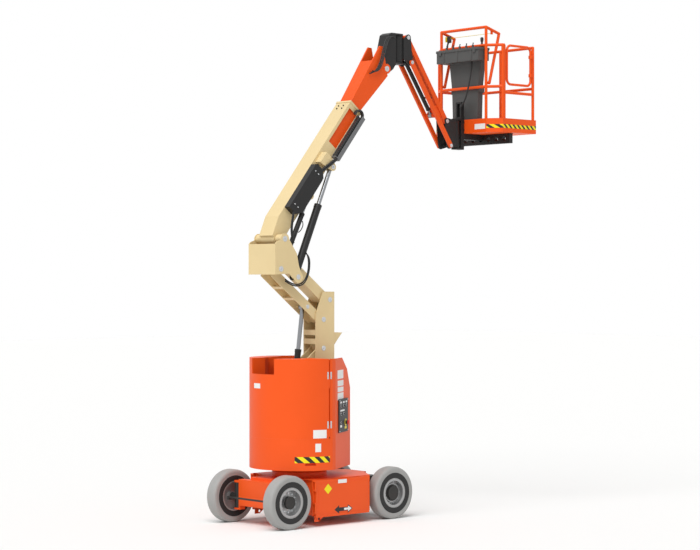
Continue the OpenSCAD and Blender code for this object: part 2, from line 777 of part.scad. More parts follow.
// Head: rear plate and two side plates with the pivots of the links, the boom and its cylinders
head_back = 90;
head_drop = 67;
head_rear = head_pin[0] - head_back;
head_low = head_pin[1] - head_drop;
head_l = 460;
head_h = 470;
head_plate_h = 365;
lobe_d = 142;
crown_d = 128;
head_shares = [[0, 0], [0.48, 0.02], [0.60, -0.10], [0.90, -0.02], [0.80, 0.22], [0.73, 0.53],
    [0.42, 0.96], [0.05, 0.83], [0, 0.777]];
boom_boss_d = 110;
link_boss_d = 70;
lift_pin_d = 44;
level_pin_d = 34;
boom_boss_y = boom_w / 2 + side_gap;
cyl_pin_in = 122;
module riser_head() {
    plate_in = head_w / 2 - plate_t;
    color("wheat") machine() {
        block([head_rear, -head_w / 2, head_low], [head_rear + plate_t, head_w / 2, head_low + head_plate_h]);
        both_sides() side_plate(head_w / 2 - plate_t / 2, plate_t) {
            polygon([for (s = head_shares) [head_rear + s[0] * head_l, head_low + s[1] * head_h]]);
            translate(lift_foot) circle(d = lobe_d);
            translate(boom_pin) circle(d = crown_d);
        }
        for (p = [head_pin, head_tie_pin]) {
            cross_bar(p, pin_d, -head_w / 2, head_w / 2);
            both_sides() cross_bar(p, link_boss_d, link_y + link_gap, plate_in);
        }
        cross_bar(boom_pin, pin_d, -head_w / 2, head_w / 2);
        both_sides() cross_bar(boom_pin, boom_boss_d, boom_boss_y, plate_in);
        cross_bar(lift_foot, lift_pin_d, -head_w / 2, -cyl_pin_in);
        cross_bar(level_foot, level_pin_d, -head_w / 2, -cyl_pin_in);
    }
}

// Cylinders: barrel with a foot eye, gland and port block; rod with its own eye.
// Local x runs from the foot to the rod's eye, in the plane y
module barrel(l, d, rod_d, eye_d, eye_w, pin, y) {
    gland_l = d / 2;
    translate([0, y, 0]) difference() {
        union() {
            rotate([90, 0, 0]) translate([0, 0, -eye_w / 2]) cylinder(d = eye_d, h = eye_w);
            translate([eye_d / 4, 0, 0]) rotate([0, 90, 0]) cylinder(d = d, h = l - eye_d / 4);
            translate([l - gland_l, 0, 0]) rotate([0, 90, 0]) cylinder(d = d + link_gap, h = gland_l);
        }
        translate([eye_d / 2 + link_gap, 0, 0]) rotate([0, 90, 0]) cylinder(d = rod_d + 2 * run, h = l);
        rotate([90, 0, 0]) translate([0, 0, -d]) cylinder(d = pin + 2 * run, h = 2 * d);
    }
}
module cylinder_rod(from_x, to_x, rod_d, eye_d, eye_w, pin, y) {
    translate([0, y, 0]) difference() {
        union() {
            translate([from_x, 0, 0]) rotate([0, 90, 0]) cylinder(d = rod_d, h = to_x - from_x);
            translate([to_x, eye_w / 2, 0]) rotate([90, 0, 0]) cylinder(d = eye_d, h = eye_w);
        }
        translate([to_x, 0, 0]) rotate([90, 0, 0]) translate([0, 0, -eye_w])
            cylinder(d = pin + 2 * run, h = 2 * eye_w);
    }
}

// Riser cylinder, between the lower arm and the upper arm
riser_foot = base_pin + turned(foot_lug, riser_angle);
riser_eye = head_pin + turned(rod_lug, -riser_angle);
riser_barrel_l = 800;
riser_barrel_d = 76;
riser_rod_d = 50;
riser_rod_in = 455;
riser_eye_d = 78;
riser_eye_w = 56;
module riser_barrel() {
    color("black") machine() on_link(riser_foot, angle_of(riser_eye - riser_foot))
        barrel(riser_barrel_l, riser_barrel_d, riser_rod_d, riser_eye_d, riser_eye_w, small_pin_d, 0);
}
module riser_rod() {
    color("silver") machine() on_link(riser_foot, angle_of(riser_eye - riser_foot))
        cylinder_rod(riser_rod_in, norm(riser_eye - riser_foot), riser_rod_d, riser_eye_d, riser_eye_w,
            small_pin_d, 0);
}

// Outer boom: welded box tube with a tapered tail, side window, collar, slide pads and lugs
tail_x = -25;
tail_z = 95;
taper_x = 215;
heel_x = 260;
boom_eye_d = 140;
hollow_x = 240;
window_x = [1440, 1985];
window_z = [-22, 126];
collar_l = 28;
collar_rise = 7;
pad_l = 70;
pad_half = 60;
pad_back = 4;
fly_w = 215;
fly_d = 185;
lug_top = 130;
lug_bridge = 44;
lug_half = 80;
lug_round = 96;
stub_l = 6;
module boom_lug(p, y, eye_w, outer_t, inner_t) {
    outer_y = y - eye_w / 2 - 2 * side_gap - outer_t / 2;
    inner_y = -boom_w / 2 - inner_t / 2;
    for (side = [[outer_y, outer_t, 1], [inner_y, inner_t, -1]]) {
        side_plate(side[0], side[1]) hull() {
            translate(p) circle(d = lug_round, $fn = fine_fn);
            translate([p[0] - lug_half, lug_top - lug_bridge]) square([2 * lug_half, lug_bridge]);
        }
        cross_bar(p, small_pin_d, side[0] - side[1] / 2 - (side[2] < 0 ? stub_l : 0),
            side[0] + side[1] / 2 + (side[2] > 0 ? stub_l : 0));
    }
    block([p[0] - lug_half, outer_y - outer_t / 2, lug_top - lug_bridge],
        [p[0] + lug_half, -boom_w / 2, lug_top]);
}
lift_eye_w = 44;
level_eye_w = 36;
module boom_base() {
    in_y = boom_w / 2 - boom_t;
    color("wheat") machine() on_link(boom_pin, boom_angle) difference() {
        union() {
            difference() {
                union() {
                    side_plate(0, boom_w) {
                        polygon([[tail_x, tail_z], [taper_x, boom_high_z], [boom_l, boom_high_z],
                            [boom_l, boom_low_z], [heel_x, boom_low_z], [0, -boom_eye_d / 2 + cut]]);
                        circle(d = boom_eye_d);
                    }
                    block([boom_l - collar_l, -boom_w / 2 - collar_rise, boom_low_z - collar_rise],
                        [boom_l, boom_w / 2 + collar_rise, boom_high_z + collar_rise]);
                }
                block([hollow_x, -in_y, boom_low_z + boom_t], [boom_l + cut, in_y, boom_high_z - boom_t]);
                block([window_x[0], -boom_w, window_z[0]], [window_x[1], 0, window_z[1]]);
            }
            for (s = [-1, 1]) {
                block([boom_l - pad_back - pad_l, s > 0 ? fly_w / 2 + run : -in_y, boom_mid_z - pad_half],
                    [boom_l - pad_back, s > 0 ? in_y : -fly_w / 2 - run, boom_mid_z + pad_half]);
                block([boom_l - pad_back - pad_l, -pad_half,
                        s > 0 ? boom_mid_z + fly_d / 2 + run : boom_low_z + boom_t],
                    [boom_l - pad_back, pad_half,
                        s > 0 ? boom_high_z - boom_t : boom_mid_z - fly_d / 2 - run]);
            }
            boom_lug(lift_lug, lift_y, lift_eye_w, plate_t, plate_t);
            boom_lug(level_lug, level_y, level_eye_w, thin_t, thin_t);
        }
        pin_bore(pin_d, boom_w / 2);
    }
}

// Hose guard: folded black cover on the boom's right side
guard_x = [470, 985];
guard_z = [-40, 84];
guard_cut = 40;
guard_out = 214;
module hose_guard() {
    color("black") machine() on_link(boom_pin, boom_angle) {
        side_plate(-guard_out + thin_t / 2, thin_t) polygon([[guard_x[0], guard_z[1]],
            [guard_x[1], guard_z[1]], [guard_x[1], guard_z[0] + guard_cut],
            [guard_x[1] - guard_cut, guard_z[0]], [guard_x[0] + guard_cut, guard_z[0]],
            [guard_x[0], guard_z[0] + guard_cut]]);
        for (x = [[guard_x[0], level_lug[0] - lug_half - cut], [level_lug[0] + lug_half + cut, guard_x[1]]])
            block([x[0], -guard_out, guard_z[1] - thin_t], [x[1], -boom_w / 2, guard_z[1]]);
    }
}

// Cable tray under the window, and the energy chain folded in it
tray_x = [1330, 2000];
tray_low = -112;
tray_lip = 54;
tray_out = 198;
tray_back = 36;
module cable_tray() {
    color("gray") machine() on_link(boom_pin, boom_angle) {
        block([tray_x[0], -tray_out, tray_low], [tray_x[1], -boom_w / 2, tray_low + thin_t]);
        block([tray_x[0], -tray_out, tray_low], [tray_x[1], -tray_out + thin_t, tray_low + tray_lip]);
        block([tray_x[0], -boom_w / 2 - thin_t, tray_low], [tray_x[1], -boom_w / 2, boom_low_z + tray_back]);
        block([tray_x[0] - plate_t, -tray_out, tray_low], [tray_x[0], -boom_w / 2, boom_low_z + tray_back]);
    }
}
chain_y = [-184, -141];
chain_h = 34;
chain_gap = 10;
chain_pitch = 32;
chain_rib = 3;
link_share = 0.7;
module energy_chain() {
    low = tray_low + thin_t + run;
    bend_z = low + chain_h + chain_gap / 2;
    link_n = floor((tray_x[1] - tray_x[0] - chain_h) / chain_pitch);
    bend_x = tray_x[0] + link_n * chain_pitch;
    color("black") machine() on_link(boom_pin, boom_angle) {
        for (z = [low, low + chain_h + chain_gap]) {
            block([tray_x[0] + run, chain_y[0] + chain_rib, z], [bend_x, chain_y[1] - chain_rib, z + chain_h]);
            for (i = [0 : link_n - 1])
                block([tray_x[0] + run + i * chain_pitch, chain_y[0], z + chain_rib],
                    [tray_x[0] + (i + link_share) * chain_pitch, chain_y[1], z + chain_h - chain_rib]);
        }
        translate([bend_x, chain_y[1] - chain_rib, bend_z]) rotate([90, 0, 0]) rotate([0, 0, -90])
            rotate_extrude(angle = 180) translate([chain_gap / 2, 0])
                square([chain_h, chain_y[1] - chain_y[0] - 2 * chain_rib]);
    }
}

// Lift and level cylinders between the head and the boom
lift_barrel_l = 950;
lift_rod_d = 52;
lift_rod_in = 560;
lift_eye_d = 84;
level_barrel_l = 500;
level_d = 66;
level_rod_d = 36;
level_rod_in = 240;
level_eye_d = 68;
module on_lift() { machine() on_link(lift_foot, angle_of(lift_eye - lift_foot)) children(); }
module on_level() { machine() on_link(level_foot, angle_of(level_eye - level_foot)) children(); }
module lift_barrel() {
    color("black") on_lift()
        barrel(lift_barrel_l, lift_d - link_gap, lift_rod_d, lift_eye_d, lift_d - link_gap, lift_pin_d, lift_y);
}
module lift_rod() {
    color("silver") on_lift() cylinder_rod(lift_rod_in, norm(lift_eye - lift_foot), lift_rod_d, lift_eye_d,
        lift_eye_w, small_pin_d, lift_y);
}
module level_barrel() {
    color("black") on_level()
        barrel(level_barrel_l, level_d - link_gap, level_rod_d, level_eye_d, level_d - link_gap, level_pin_d, level_y);
}
module level_rod() {
    color("silver") on_level() cylinder_rod(level_rod_in, norm(level_eye - level_foot), level_rod_d,
        level_eye_d, level_eye_w, small_pin_d, level_y);
}

// Fly boom: inner tube that flares to a forked nose with the knuckle's hinge pin
fly_rear = 560;
flare_gap = 14;
flare_x = boom_l + flare_gap;
nose_top = [2978, 226];
nose_cut = 46;
nose_low = [2729, -107];
nose_w = 240;
fork_y = 95;
fork_back = 78;
cheek_d = 124;
module fly_nose_side() {
    polygon([[flare_x, boom_mid_z - fly_d / 2], [flare_x, boom_mid_z + fly_d / 2],
        nose_top - [nose_cut, 0], nose_top - [nose_cut / 3, nose_cut], nose_low]);
}
module fly_nose_plan() {
    polygon([[flare_x, -fly_w / 2], [nose_top[0] + pin_d, -nose_w / 2],
        [nose_top[0] + pin_d, nose_w / 2], [flare_x, fly_w / 2]]);
}
module boom_fly() {
    low = boom_mid_z - fly_d / 2;
    high = boom_mid_z + fly_d / 2;
    in_y = boom_w / 2 - boom_t - run;
    color("orangered") machine() on_link(boom_pin, boom_angle) {
        difference() {
            union() {
                block([fly_rear, -fly_w / 2, low], [flare_x, fly_w / 2, high]);
                intersection() {
                    side_plate(0, 2 * nose_w) fly_nose_side();
                    translate([0, 0, -nose_w]) linear_extrude(height = 3 * nose_w) fly_nose_plan();
                }
                both_sides() side_plate(fork_y + (nose_w / 2 - fork_y) / 2, nose_w / 2 - fork_y)
                    translate(nose_pin) circle(d = cheek_d);
                for (s = [-1, 1]) block([fly_rear, s > 0 ? fly_w / 2 : -in_y, boom_mid_z - pad_half],
                    [fly_rear + pad_l, s > 0 ? in_y : -fly_w / 2, boom_mid_z + pad_half]);
            }
            block([fly_rear - cut, -fly_w / 2 + boom_t, low + boom_t],
                [nose_pin[0], fly_w / 2 - boom_t, high - boom_t]);
            block([nose_pin[0] - fork_back, -fork_y, -nose_w], [nose_top[0] + pin_d, fork_y, 2 * nose_w]);
        }
        cross_bar(nose_pin, pin_d, -nose_w / 2, nose_w / 2);
    }
}

// Boom knuckle: black block between the fly's cheeks with the jib's upright swing pin
knuckle_w = 172;
knuckle_eye_d = 116;
knuckle_shares = [[-0.24, 0.10], [0.16, 0.64], [0.35, 0.94], [0.62, 1], [1, 1], [1, 0.16], [0.75, 0.02],
    [0.25, -0.12]];
knuckle_l = 185;
knuckle_h = 465;
yoke_t = 24;
yoke_low = 81;
yoke_d = 160;
swing_d = 70;
hub_d = 150;
hub_low = yoke_low + yoke_t + side_gap;
hub_high = knuckle_h - yoke_t - side_gap;
module boom_knuckle() {
    color("black") machine() translate([knuckle_pin[0], 0, knuckle_pin[1]]) difference() {
        union() {
            side_plate(0, knuckle_w) {
                polygon([for (s = knuckle_shares) [s[0] * knuckle_l, s[1] * knuckle_h]]);
                circle(d = knuckle_eye_d);
            }
            for (z = [yoke_low, knuckle_h - yoke_t]) translate([0, 0, z]) linear_extrude(height = yoke_t) {
                translate([knuckle_l - yoke_t, -yoke_d / 2])
                    square([swing_x - knuckle_pin[0] - knuckle_l + yoke_t, yoke_d]);
                translate([swing_x - knuckle_pin[0], 0]) circle(d = yoke_d);
            }
            translate([swing_x - knuckle_pin[0], 0, yoke_low]) cylinder(d = swing_d, h = knuckle_h - yoke_low);
        }
        pin_bore(pin_d, knuckle_w / 2);
    }
}

// Jib base: hub on the swing pin and two cheeks with the jib's pins
cheek_in = 70;
cheek_t = 14;
jib_pin_d = 32;
base_web_l = 75;
base_cheek_x = [40, 80];
base_cheek_drop = 40;
base_lug_d = 80;
link_in = 90;
link_out = 120;
module jib_base() {
    low = knuckle_pin[1] + hub_low;
    high = knuckle_pin[1] + hub_high;
    cheek_out = cheek_in + cheek_t;
    color("black") machine() difference() {
        union() {
            translate([swing_x, 0, low]) cylinder(d = hub_d, h = high - low);
            block([swing_x, -cheek_in, low + base_cheek_drop],
                [swing_x + base_web_l, cheek_in, high - base_cheek_drop]);
            both_sides() side_plate(cheek_in + cheek_t / 2, cheek_t) hull() {
                translate([swing_x + base_cheek_x[0], low + base_cheek_drop])
                    square([base_cheek_x[1] - base_cheek_x[0], high - low - 2 * base_cheek_drop]);
                for (p = [jib_pin, jib_tie_pin]) translate(p) circle(d = base_lug_d, $fn = fine_fn);
            }
            cross_bar(jib_pin, jib_pin_d, -link_out, link_out);
            cross_bar(jib_tie_pin, jib_pin_d, -cheek_out, cheek_out);
        }
        translate([swing_x, 0, low - cut]) cylinder(d = swing_d + 2 * run, h = high - low + 2 * cut);
    }
}

// Upper jib arm: box tube on the tie pins, with the lug of the jib cylinder
jib_d = 66;
jib_t = 6;
jib_end = 60;
jib_lug = [1060, -140];
jib_lug_d = 64;
jib_lug_half = 90;
jib_lug_in = 41;
module jib_arm() {
    half_d = jib_d / 2;
    color("orangered") machine() on_link(jib_tie_pin, -jib_angle) difference() {
        union() {
            side_plate(0, jib_w) bar_outline(jib_l, jib_d);
            both_sides() side_plate(jib_lug_in + plate_t / 2, plate_t) hull() {
                translate(jib_lug) circle(d = jib_lug_d, $fn = fine_fn);
                translate([jib_lug[0] - jib_lug_half, -half_d]) square([2 * jib_lug_half, jib_t]);
            }
            both_sides() cross_bar(jib_lug, jib_pin_d, jib_lug_in - stub_l, jib_lug_in + plate_t);
        }
        block([jib_end, -jib_w / 2 + jib_t, -half_d + jib_t], [jib_l - jib_end, jib_w / 2 - jib_t, half_d - jib_t]);
        for (x = [0, jib_l]) translate([x, 0, 0]) pin_bore(jib_pin_d, jib_w / 2);
    }
}

// Lower jib links: a bar on each side of the jib
jib_link_d = 56;
module jib_links() {
    color("orangered") machine() on_link(jib_pin, -jib_angle) difference() {
        both_sides() side_plate((link_in + link_out) / 2, link_out - link_in) bar_outline(jib_l, jib_link_d);
        for (x = [0, jib_l]) translate([x, 0, 0]) pin_bore(jib_pin_d, link_out);
    }
}

// Jib cylinder, between the jib base and the upper arm
jib_barrel_l = 700;
jib_barrel_d = 52;
jib_rod_d = 30;
jib_rod_in = 90;
jib_eye_d = 62;
jib_eye_w = 56;
jib_eye = jib_tie_pin + turned(jib_lug, -jib_angle);
module jib_barrel() {
    color("black") machine() on_link(jib_pin, angle_of(jib_eye - jib_pin))
        barrel(jib_barrel_l, jib_barrel_d, jib_rod_d, jib_eye_d, jib_eye_w, jib_pin_d, 0);
}
module jib_rod() {
    color("silver") machine() on_link(jib_pin, angle_of(jib_eye - jib_pin))
        cylinder_rod(jib_rod_in, norm(jib_eye - jib_pin), jib_rod_d, jib_eye_d, jib_eye_w, jib_pin_d, 0);
}

// Platform bracket: two plates on the jib's tip pins that carry the rotator's housing
bracket_reach = 116;
bracket_d = 80;
web_t = 25;
web_low = -9;
web_start = 20;
web_slot = 36;
shaft_d = 60;
housing_low = tip_pin[1] + web_low;
housing_high = tip_tie_pin[1] + web_low + web_t;
module platform_bracket() {
    cheek_out = cheek_in + cheek_t;
    plate_x = tip_pin[0] + bracket_reach;
    color("black") machine() difference() {
        union() {
            translate([rotator_x, 0, housing_low]) cylinder(d = rotator_d, h = housing_high - housing_low);
            both_sides() {
                side_plate(cheek_in + cheek_t / 2, cheek_t) hull() {
                    for (p = [tip_pin, tip_tie_pin]) translate(p) circle(d = bracket_d, $fn = fine_fn);
                    translate([plate_x - web_t, housing_low]) square([web_t, housing_high - housing_low]);
                }
                cross_bar(tip_pin, jib_pin_d, cheek_in, link_out);
            }
            cross_bar(tip_tie_pin, jib_pin_d, -cheek_out, cheek_out);
            for (z = [housing_low, housing_high - web_t]) difference() {
                union() {
                    block([tip_pin[0] + web_start, -cheek_out, z], [plate_x, cheek_out, z + web_t]);
                    block([plate_x - cut, -rotator_d / 2, z], [rotator_x, rotator_d / 2, z + web_t]);
                }
                block([tip_pin[0], -web_slot, z - cut],
                    [z > tip_pin[1] ? tip_pin[0] + cut : rotator_x - rotator_d / 2 - cut, web_slot, z + web_t + cut]);
            }
        }
        translate([rotator_x, 0, housing_low - cut])
            cylinder(d = shaft_d + 2 * run, h = housing_high - housing_low + 2 * cut);
    }
}

// Platform support: shaft, yoke and column on the rotator, arm and cross beam under the floor
support_t = 24;
support_low = housing_low - side_gap - support_t;
support_high = housing_high + side_gap + support_t;
column_in = 62;
column_out = 118;
column_y = 48;
column_top = 5230;
column_slot_y = 26;
yoke_round = 96;
arm_drop = 76;
arm_end_share = 0.68;
beam_share = 0.5;
beam_w = 60;
beam_half = 520;
beam_drop = 130;
beam_hole_d = 62;
beam_hole_n = 7;
beam_hole_pitch = 140;
rest_h = 40;
module platform_support() {
    beam_x = platform_x + beam_share * platform_l;
    color("black") machine() {
        translate([rotator_x, 0, support_low]) cylinder(d = shaft_d, h = support_high - support_low);
        for (z = [support_low, support_high - support_t]) translate([rotator_x, 0, z])
            linear_extrude(height = support_t) {
                circle(d = yoke_round);
                translate([0, -yoke_round / 2]) square([column_out, yoke_round]);
            }
        difference() {
            block([rotator_x + column_in, -column_y, support_low], [rotator_x + column_out, column_y, column_top]);
            block([rotator_x, -column_slot_y, support_low + 2 * support_t],
                [rotator_x + column_out + cut, column_slot_y, support_high - 2 * support_t]);
            block([rotator_x, -column_slot_y, support_high + support_t],
                [rotator_x + column_out + cut, column_slot_y, column_top - support_t]);
        }
        block([rotator_x + column_in, -column_y, platform_low - arm_drop],
            [platform_x + arm_end_share * platform_l, column_y, platform_low - run]);
        for (z = [platform_low + rest_h, platform_low + toe_h - rest_h])
            block([rotator_x + column_out - cut, -column_y, z], [platform_x - run, column_y, z + rest_h / 2]);
        difference() {
            block([beam_x - beam_w / 2, -beam_half, platform_low - beam_drop],
                [beam_x + beam_w / 2, beam_half, platform_low - run]);
            for (i = [0 : beam_hole_n - 1]) translate([beam_x - beam_w, (i - (beam_hole_n - 1) / 2) * beam_hole_pitch,
                    platform_low - beam_drop / 2]) rotate([0, 90, 0]) cylinder(d = beam_hole_d, h = 2 * beam_w);
        }
    }
}

// Platform floor: deck inside a standing toe board, with slanted rear corners
toe_t = 10;
deck_t = 24;
corner_x = 130;
corner_y = 440;
module platform_outline(inset) {
    half_w = platform_w / 2 - inset;
    low = platform_x + inset;
    high = platform_front - inset;
    slant = inset * tan(atan2(half_w + inset - corner_y, corner_x) / 2);
    polygon([[low, -corner_y + slant - inset / 2], [platform_x + corner_x + inset / 2, -half_w], [high, -half_w],
        [high, half_w], [platform_x + corner_x + inset / 2, half_w], [low, corner_y - slant + inset / 2]]);
}
module platform_floor() {
    color("orangered") machine() translate([0, 0, platform_low]) {
        linear_extrude(height = deck_t) platform_outline(0);
        linear_extrude(height = toe_h) difference() {
            platform_outline(0);
            platform_outline(toe_t);
        }
    }
}

// Guard rails: posts on the deck, mid and top rails, open at the gate
post_in = toe_t + rail_d / 2 + run;
rail_low = platform_low + deck_t + run;
top_z = platform_top - rail_d / 2;
mid_rail_h = 590;
mid_z = platform_low + mid_rail_h;
rail_y = platform_w / 2 - post_in;
rear_rail_x = platform_x + corner_x + post_in;
front_rail_x = platform_front - post_in;
hoop_x = platform_x + post_in;
hoop_y = 408;
gate_d = 32;
gate_back = 46;
gate_x = front_rail_x - gate_back;
gate_l = 445;
gate_rise = 606;
gate_low = platform_low + gate_rise;
gate_ring_d = 52;
gate_ring_h = 40;
gate_ring_zs = [5560, 5800];
latch_gap = 50;
latch_x = gate_x - gate_l - latch_gap;
module tube(p, q) { rod_between(p, q, rail_d); }
module platform_rails() {
    color("orangered") machine() difference() {
        union() {
            for (s = [-1, 1]) {
                for (x = [rear_rail_x, front_rail_x]) tube([x, s * rail_y, rail_low], [x, s * rail_y, top_z]);
                for (z = [mid_z, top_z]) tube([front_rail_x, 0, z], [front_rail_x, s * rail_y, z]);
                tube([hoop_x, s * hoop_y, rail_low], [hoop_x, s * hoop_y, platform_top]);
                for (z = [mid_z, top_z]) tube([rear_rail_x, s * rail_y, z], [hoop_x, s * hoop_y, z]);
                for (x = [rear_rail_x, front_rail_x]) translate([x, s * rail_y, top_z]) sphere(d = rail_d);
            }
            for (z = [mid_z, top_z]) {
                tube([hoop_x, -hoop_y, z], [hoop_x, hoop_y, z]);
                tube([rear_rail_x, rail_y, z], [front_rail_x, rail_y, z]);
                tube([rear_rail_x, -rail_y, z], [latch_x, -rail_y, z]);
            }
            tube([latch_x, -rail_y, rail_low], [latch_x, -rail_y, top_z]);
            tube([front_rail_x, 0, rail_low], [front_rail_x, 0, top_z]);
            tube([latch_x, -rail_y, mid_z - 2 * rail_d], [front_rail_x, -rail_y, mid_z - 2 * rail_d]);
            for (z = gate_ring_zs) translate([gate_x, -rail_y, z]) {
                cylinder(d = gate_ring_d, h = gate_ring_h);
                block([0, -thin_t, 0], [front_rail_x - gate_x, thin_t, gate_ring_h]);
            }
        }
        for (z = gate_ring_zs) translate([gate_x, -rail_y, z - cut])
            cylinder(d = gate_d + 2 * run, h = gate_ring_h + 2 * cut);
    }
}

// Protective hoop over the console: standing ends on the rear posts, top frame and slanted front legs
hoop_rise = 215;
hoop_z = platform_top + hoop_rise;
hoop_reach = 240;
hoop_drop = 70;
leg_rise = 640;
leg_low = platform_low + leg_rise;
leg_x = 60;
module platform_hoop() {
    color("orangered") machine() {
        tube([hoop_x, -hoop_y, hoop_z], [hoop_x, hoop_y, hoop_z]);
        for (s = [-1, 1]) {
            tube([hoop_x, s * hoop_y, platform_top + run], [hoop_x, s * hoop_y, hoop_z]);
            tube([hoop_x, s * hoop_y, hoop_z], [hoop_x + hoop_reach, s * hoop_y, hoop_z - hoop_drop]);
            tube([hoop_x + hoop_reach, s * hoop_y, hoop_z - hoop_drop], [hoop_x + leg_x, s * hoop_y, leg_low]);
            tube([hoop_x + leg_x, s * hoop_y, leg_low], [hoop_x + rail_d / 2 + run, s * hoop_y, leg_low]);
            for (p = [[0, 0], [hoop_reach, -hoop_drop], [leg_x, leg_low - hoop_z]])
                translate([hoop_x + p[0], s * hoop_y, hoop_z + p[1]]) sphere(d = rail_d);
        }
    }
}

// Gate: rounded tube loop that turns in two rings on the right front post
gate_bend = 70;
gate_drop = 4;
gate_high = platform_top - gate_drop;
module platform_gate() {
    far_x = gate_x - gate_l;
    low = gate_low + gate_d / 2;
    high = gate_high - gate_d / 2;
    color("orangered") machine() translate([0, -rail_y, 0]) {
        for (x = [far_x, gate_x]) rod_between([x, 0, low + gate_bend], [x, 0, high - gate_bend], gate_d);
        for (z = [low, high]) rod_between([far_x + gate_bend, 0, z], [gate_x - gate_bend, 0, z], gate_d);
        for (c = [[gate_x - gate_bend, high - gate_bend, 0], [far_x + gate_bend, high - gate_bend, 90],
                [far_x + gate_bend, low + gate_bend, 180], [gate_x - gate_bend, low + gate_bend, 270]])
            translate([c[0], 0, c[1]]) rotate([90, 0, 0]) rotate([0, 0, c[2]])
                rotate_extrude(angle = 90) translate([gate_bend, 0]) circle(d = gate_d);
    }
}

// Control console: upper box over the rear rail, tapered neck, ledge and foot on the deck, switches on top
box_x = [-88, 110];
box_z = 5750;
box_top = 5915;
console_half = 380;
neck_x = [56, 145];
neck_z = 5410;
neck_half = [285, 238];
ledge_out = 14;
ledge_h = 62;
foot_half = 218;
switch_d = 30;
switch_h = 42;
switch_n = 5;
switch_pitch = 120;
switch_x = -42;
module console_part(half_low, half_high, low, high, out) {
    translate([platform_x + neck_x[0], 0, 0]) rotate([90, 0, 90]) linear_extrude(height = neck_x[1] - neck_x[0] + out)
        polygon([[-half_low, low], [half_low, low], [half_high, high], [-half_high, high]]);
}
module platform_console() {
    color("dimgray") machine() {
        block([platform_x + box_x[0], -console_half, box_z], [platform_x + box_x[1], console_half, box_top]);
        console_part(neck_half[1], neck_half[0], neck_z, box_z + cut, 0);
        console_part(neck_half[1] + ledge_out, neck_half[1] + ledge_out, neck_z - ledge_h, neck_z, ledge_out);
        console_part(foot_half, neck_half[1], rail_low, neck_z, 0);
        for (i = [0 : switch_n - 1])
            translate([platform_x + switch_x, (i - (switch_n - 1) / 2) * switch_pitch, box_top])
                cylinder(d = switch_d, h = switch_h, $fn = fine_fn);
    }
}

chassis_frame();
battery_packs();
steer_axle();
drive_axle();
battery_door_right();
battery_door_left();
steer_knuckle_right();
steer_knuckle_left();
tie_rod();
tyre_steer_right();
tyre_steer_left();
tyre_drive_right();
tyre_drive_left();
rim_steer_right();
rim_steer_left();
rim_drive_right();
rim_drive_left();
turntable();
counterweight();
turret_panels();
hydraulic_unit();
tower_base();
ground_controls();
hood_right();
hood_left();
riser_lower_arm();
riser_lower_tie();
riser_mast();
riser_upper_arm();
riser_upper_tie();
riser_head();
riser_barrel();
riser_rod();
boom_base();
hose_guard();
cable_tray();
energy_chain();
lift_barrel();
lift_rod();
level_barrel();
level_rod();
boom_fly();
boom_knuckle();
jib_base();
jib_arm();
jib_links();
jib_barrel();
jib_rod();
platform_bracket();
platform_support();
platform_floor();
platform_rails();
platform_hoop();
platform_gate();
platform_console();
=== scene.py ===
"""Compact electric articulating boom lift, dressed over its CAD frame. Metres, row frame."""
import json
import math

import bmesh
import bpy
from mathutils import Matrix, Vector


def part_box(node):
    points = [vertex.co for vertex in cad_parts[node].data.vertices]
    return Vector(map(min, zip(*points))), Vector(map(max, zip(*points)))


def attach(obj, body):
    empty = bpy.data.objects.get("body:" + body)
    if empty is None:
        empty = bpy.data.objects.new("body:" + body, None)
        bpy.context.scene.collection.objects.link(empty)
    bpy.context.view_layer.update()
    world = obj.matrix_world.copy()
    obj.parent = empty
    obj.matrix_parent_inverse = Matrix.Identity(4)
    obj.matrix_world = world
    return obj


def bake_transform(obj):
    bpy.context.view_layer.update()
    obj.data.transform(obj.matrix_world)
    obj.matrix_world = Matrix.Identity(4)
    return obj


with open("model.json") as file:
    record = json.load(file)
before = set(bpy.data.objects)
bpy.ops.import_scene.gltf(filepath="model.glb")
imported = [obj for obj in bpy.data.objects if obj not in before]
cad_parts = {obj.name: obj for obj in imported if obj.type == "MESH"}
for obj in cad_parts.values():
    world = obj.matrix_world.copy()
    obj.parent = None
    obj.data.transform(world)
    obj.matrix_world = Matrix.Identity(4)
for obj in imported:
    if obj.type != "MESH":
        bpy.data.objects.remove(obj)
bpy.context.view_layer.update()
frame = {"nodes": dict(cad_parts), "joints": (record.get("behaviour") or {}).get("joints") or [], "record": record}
nodes = frame["nodes"]

# Camera: a long lens at the height of the riser's head, which looks level from the right rear
# of the machine, on the photograph's 700 x 550 frame.
camera = bpy.data.objects.new("camera", bpy.data.cameras.new("camera"))
bpy.context.scene.collection.objects.link(camera)
camera.location = (-17.086, -18.435, 2.980)
camera.rotation_euler = (math.radians(90), 0, math.radians(-42.03))
camera.data.sensor_width = 36
camera.data.lens = 103.08
camera.data.clip_end = 200
bpy.context.scene.camera = camera
bpy.context.scene.view_settings.view_transform = "Standard"


# Studio: a pale seamless floor under a bright even sky and one wide softbox.
# The sky shows white, and lights the machine less than it shows.
def colour(code):
    """Linear RGBA of an sRGB hex code."""
    parts = [int(code[i:i + 2], 16) / 255 for i in (0, 2, 4)]
    return [c / 12.92 if c <= 0.04045 else ((c + 0.055) / 1.055) ** 2.4 for c in parts] + [1]


def scaled(rgba, factor, lift=0.0):
    """A colour made deeper or paler by a factor, and lifted towards white."""
    return [min(1, c * factor + lift) for c in rgba[:3]] + [1]


def add(tree, kind, links=(), **values):
    """A shader node with its properties, input values and incoming links set."""
    node = tree.nodes.new("ShaderNode" + kind)
    for key, value in values.items():
        if key.startswith("in_"):
            name = key[3:].replace("_", " ")
            socket = node.inputs[int(name)] if name.isdigit() else node.inputs[name]
            socket.default_value = value
        else:
            setattr(node, key, value)
    for name, source in links:
        tree.links.new(source, node.inputs[name])
    return node


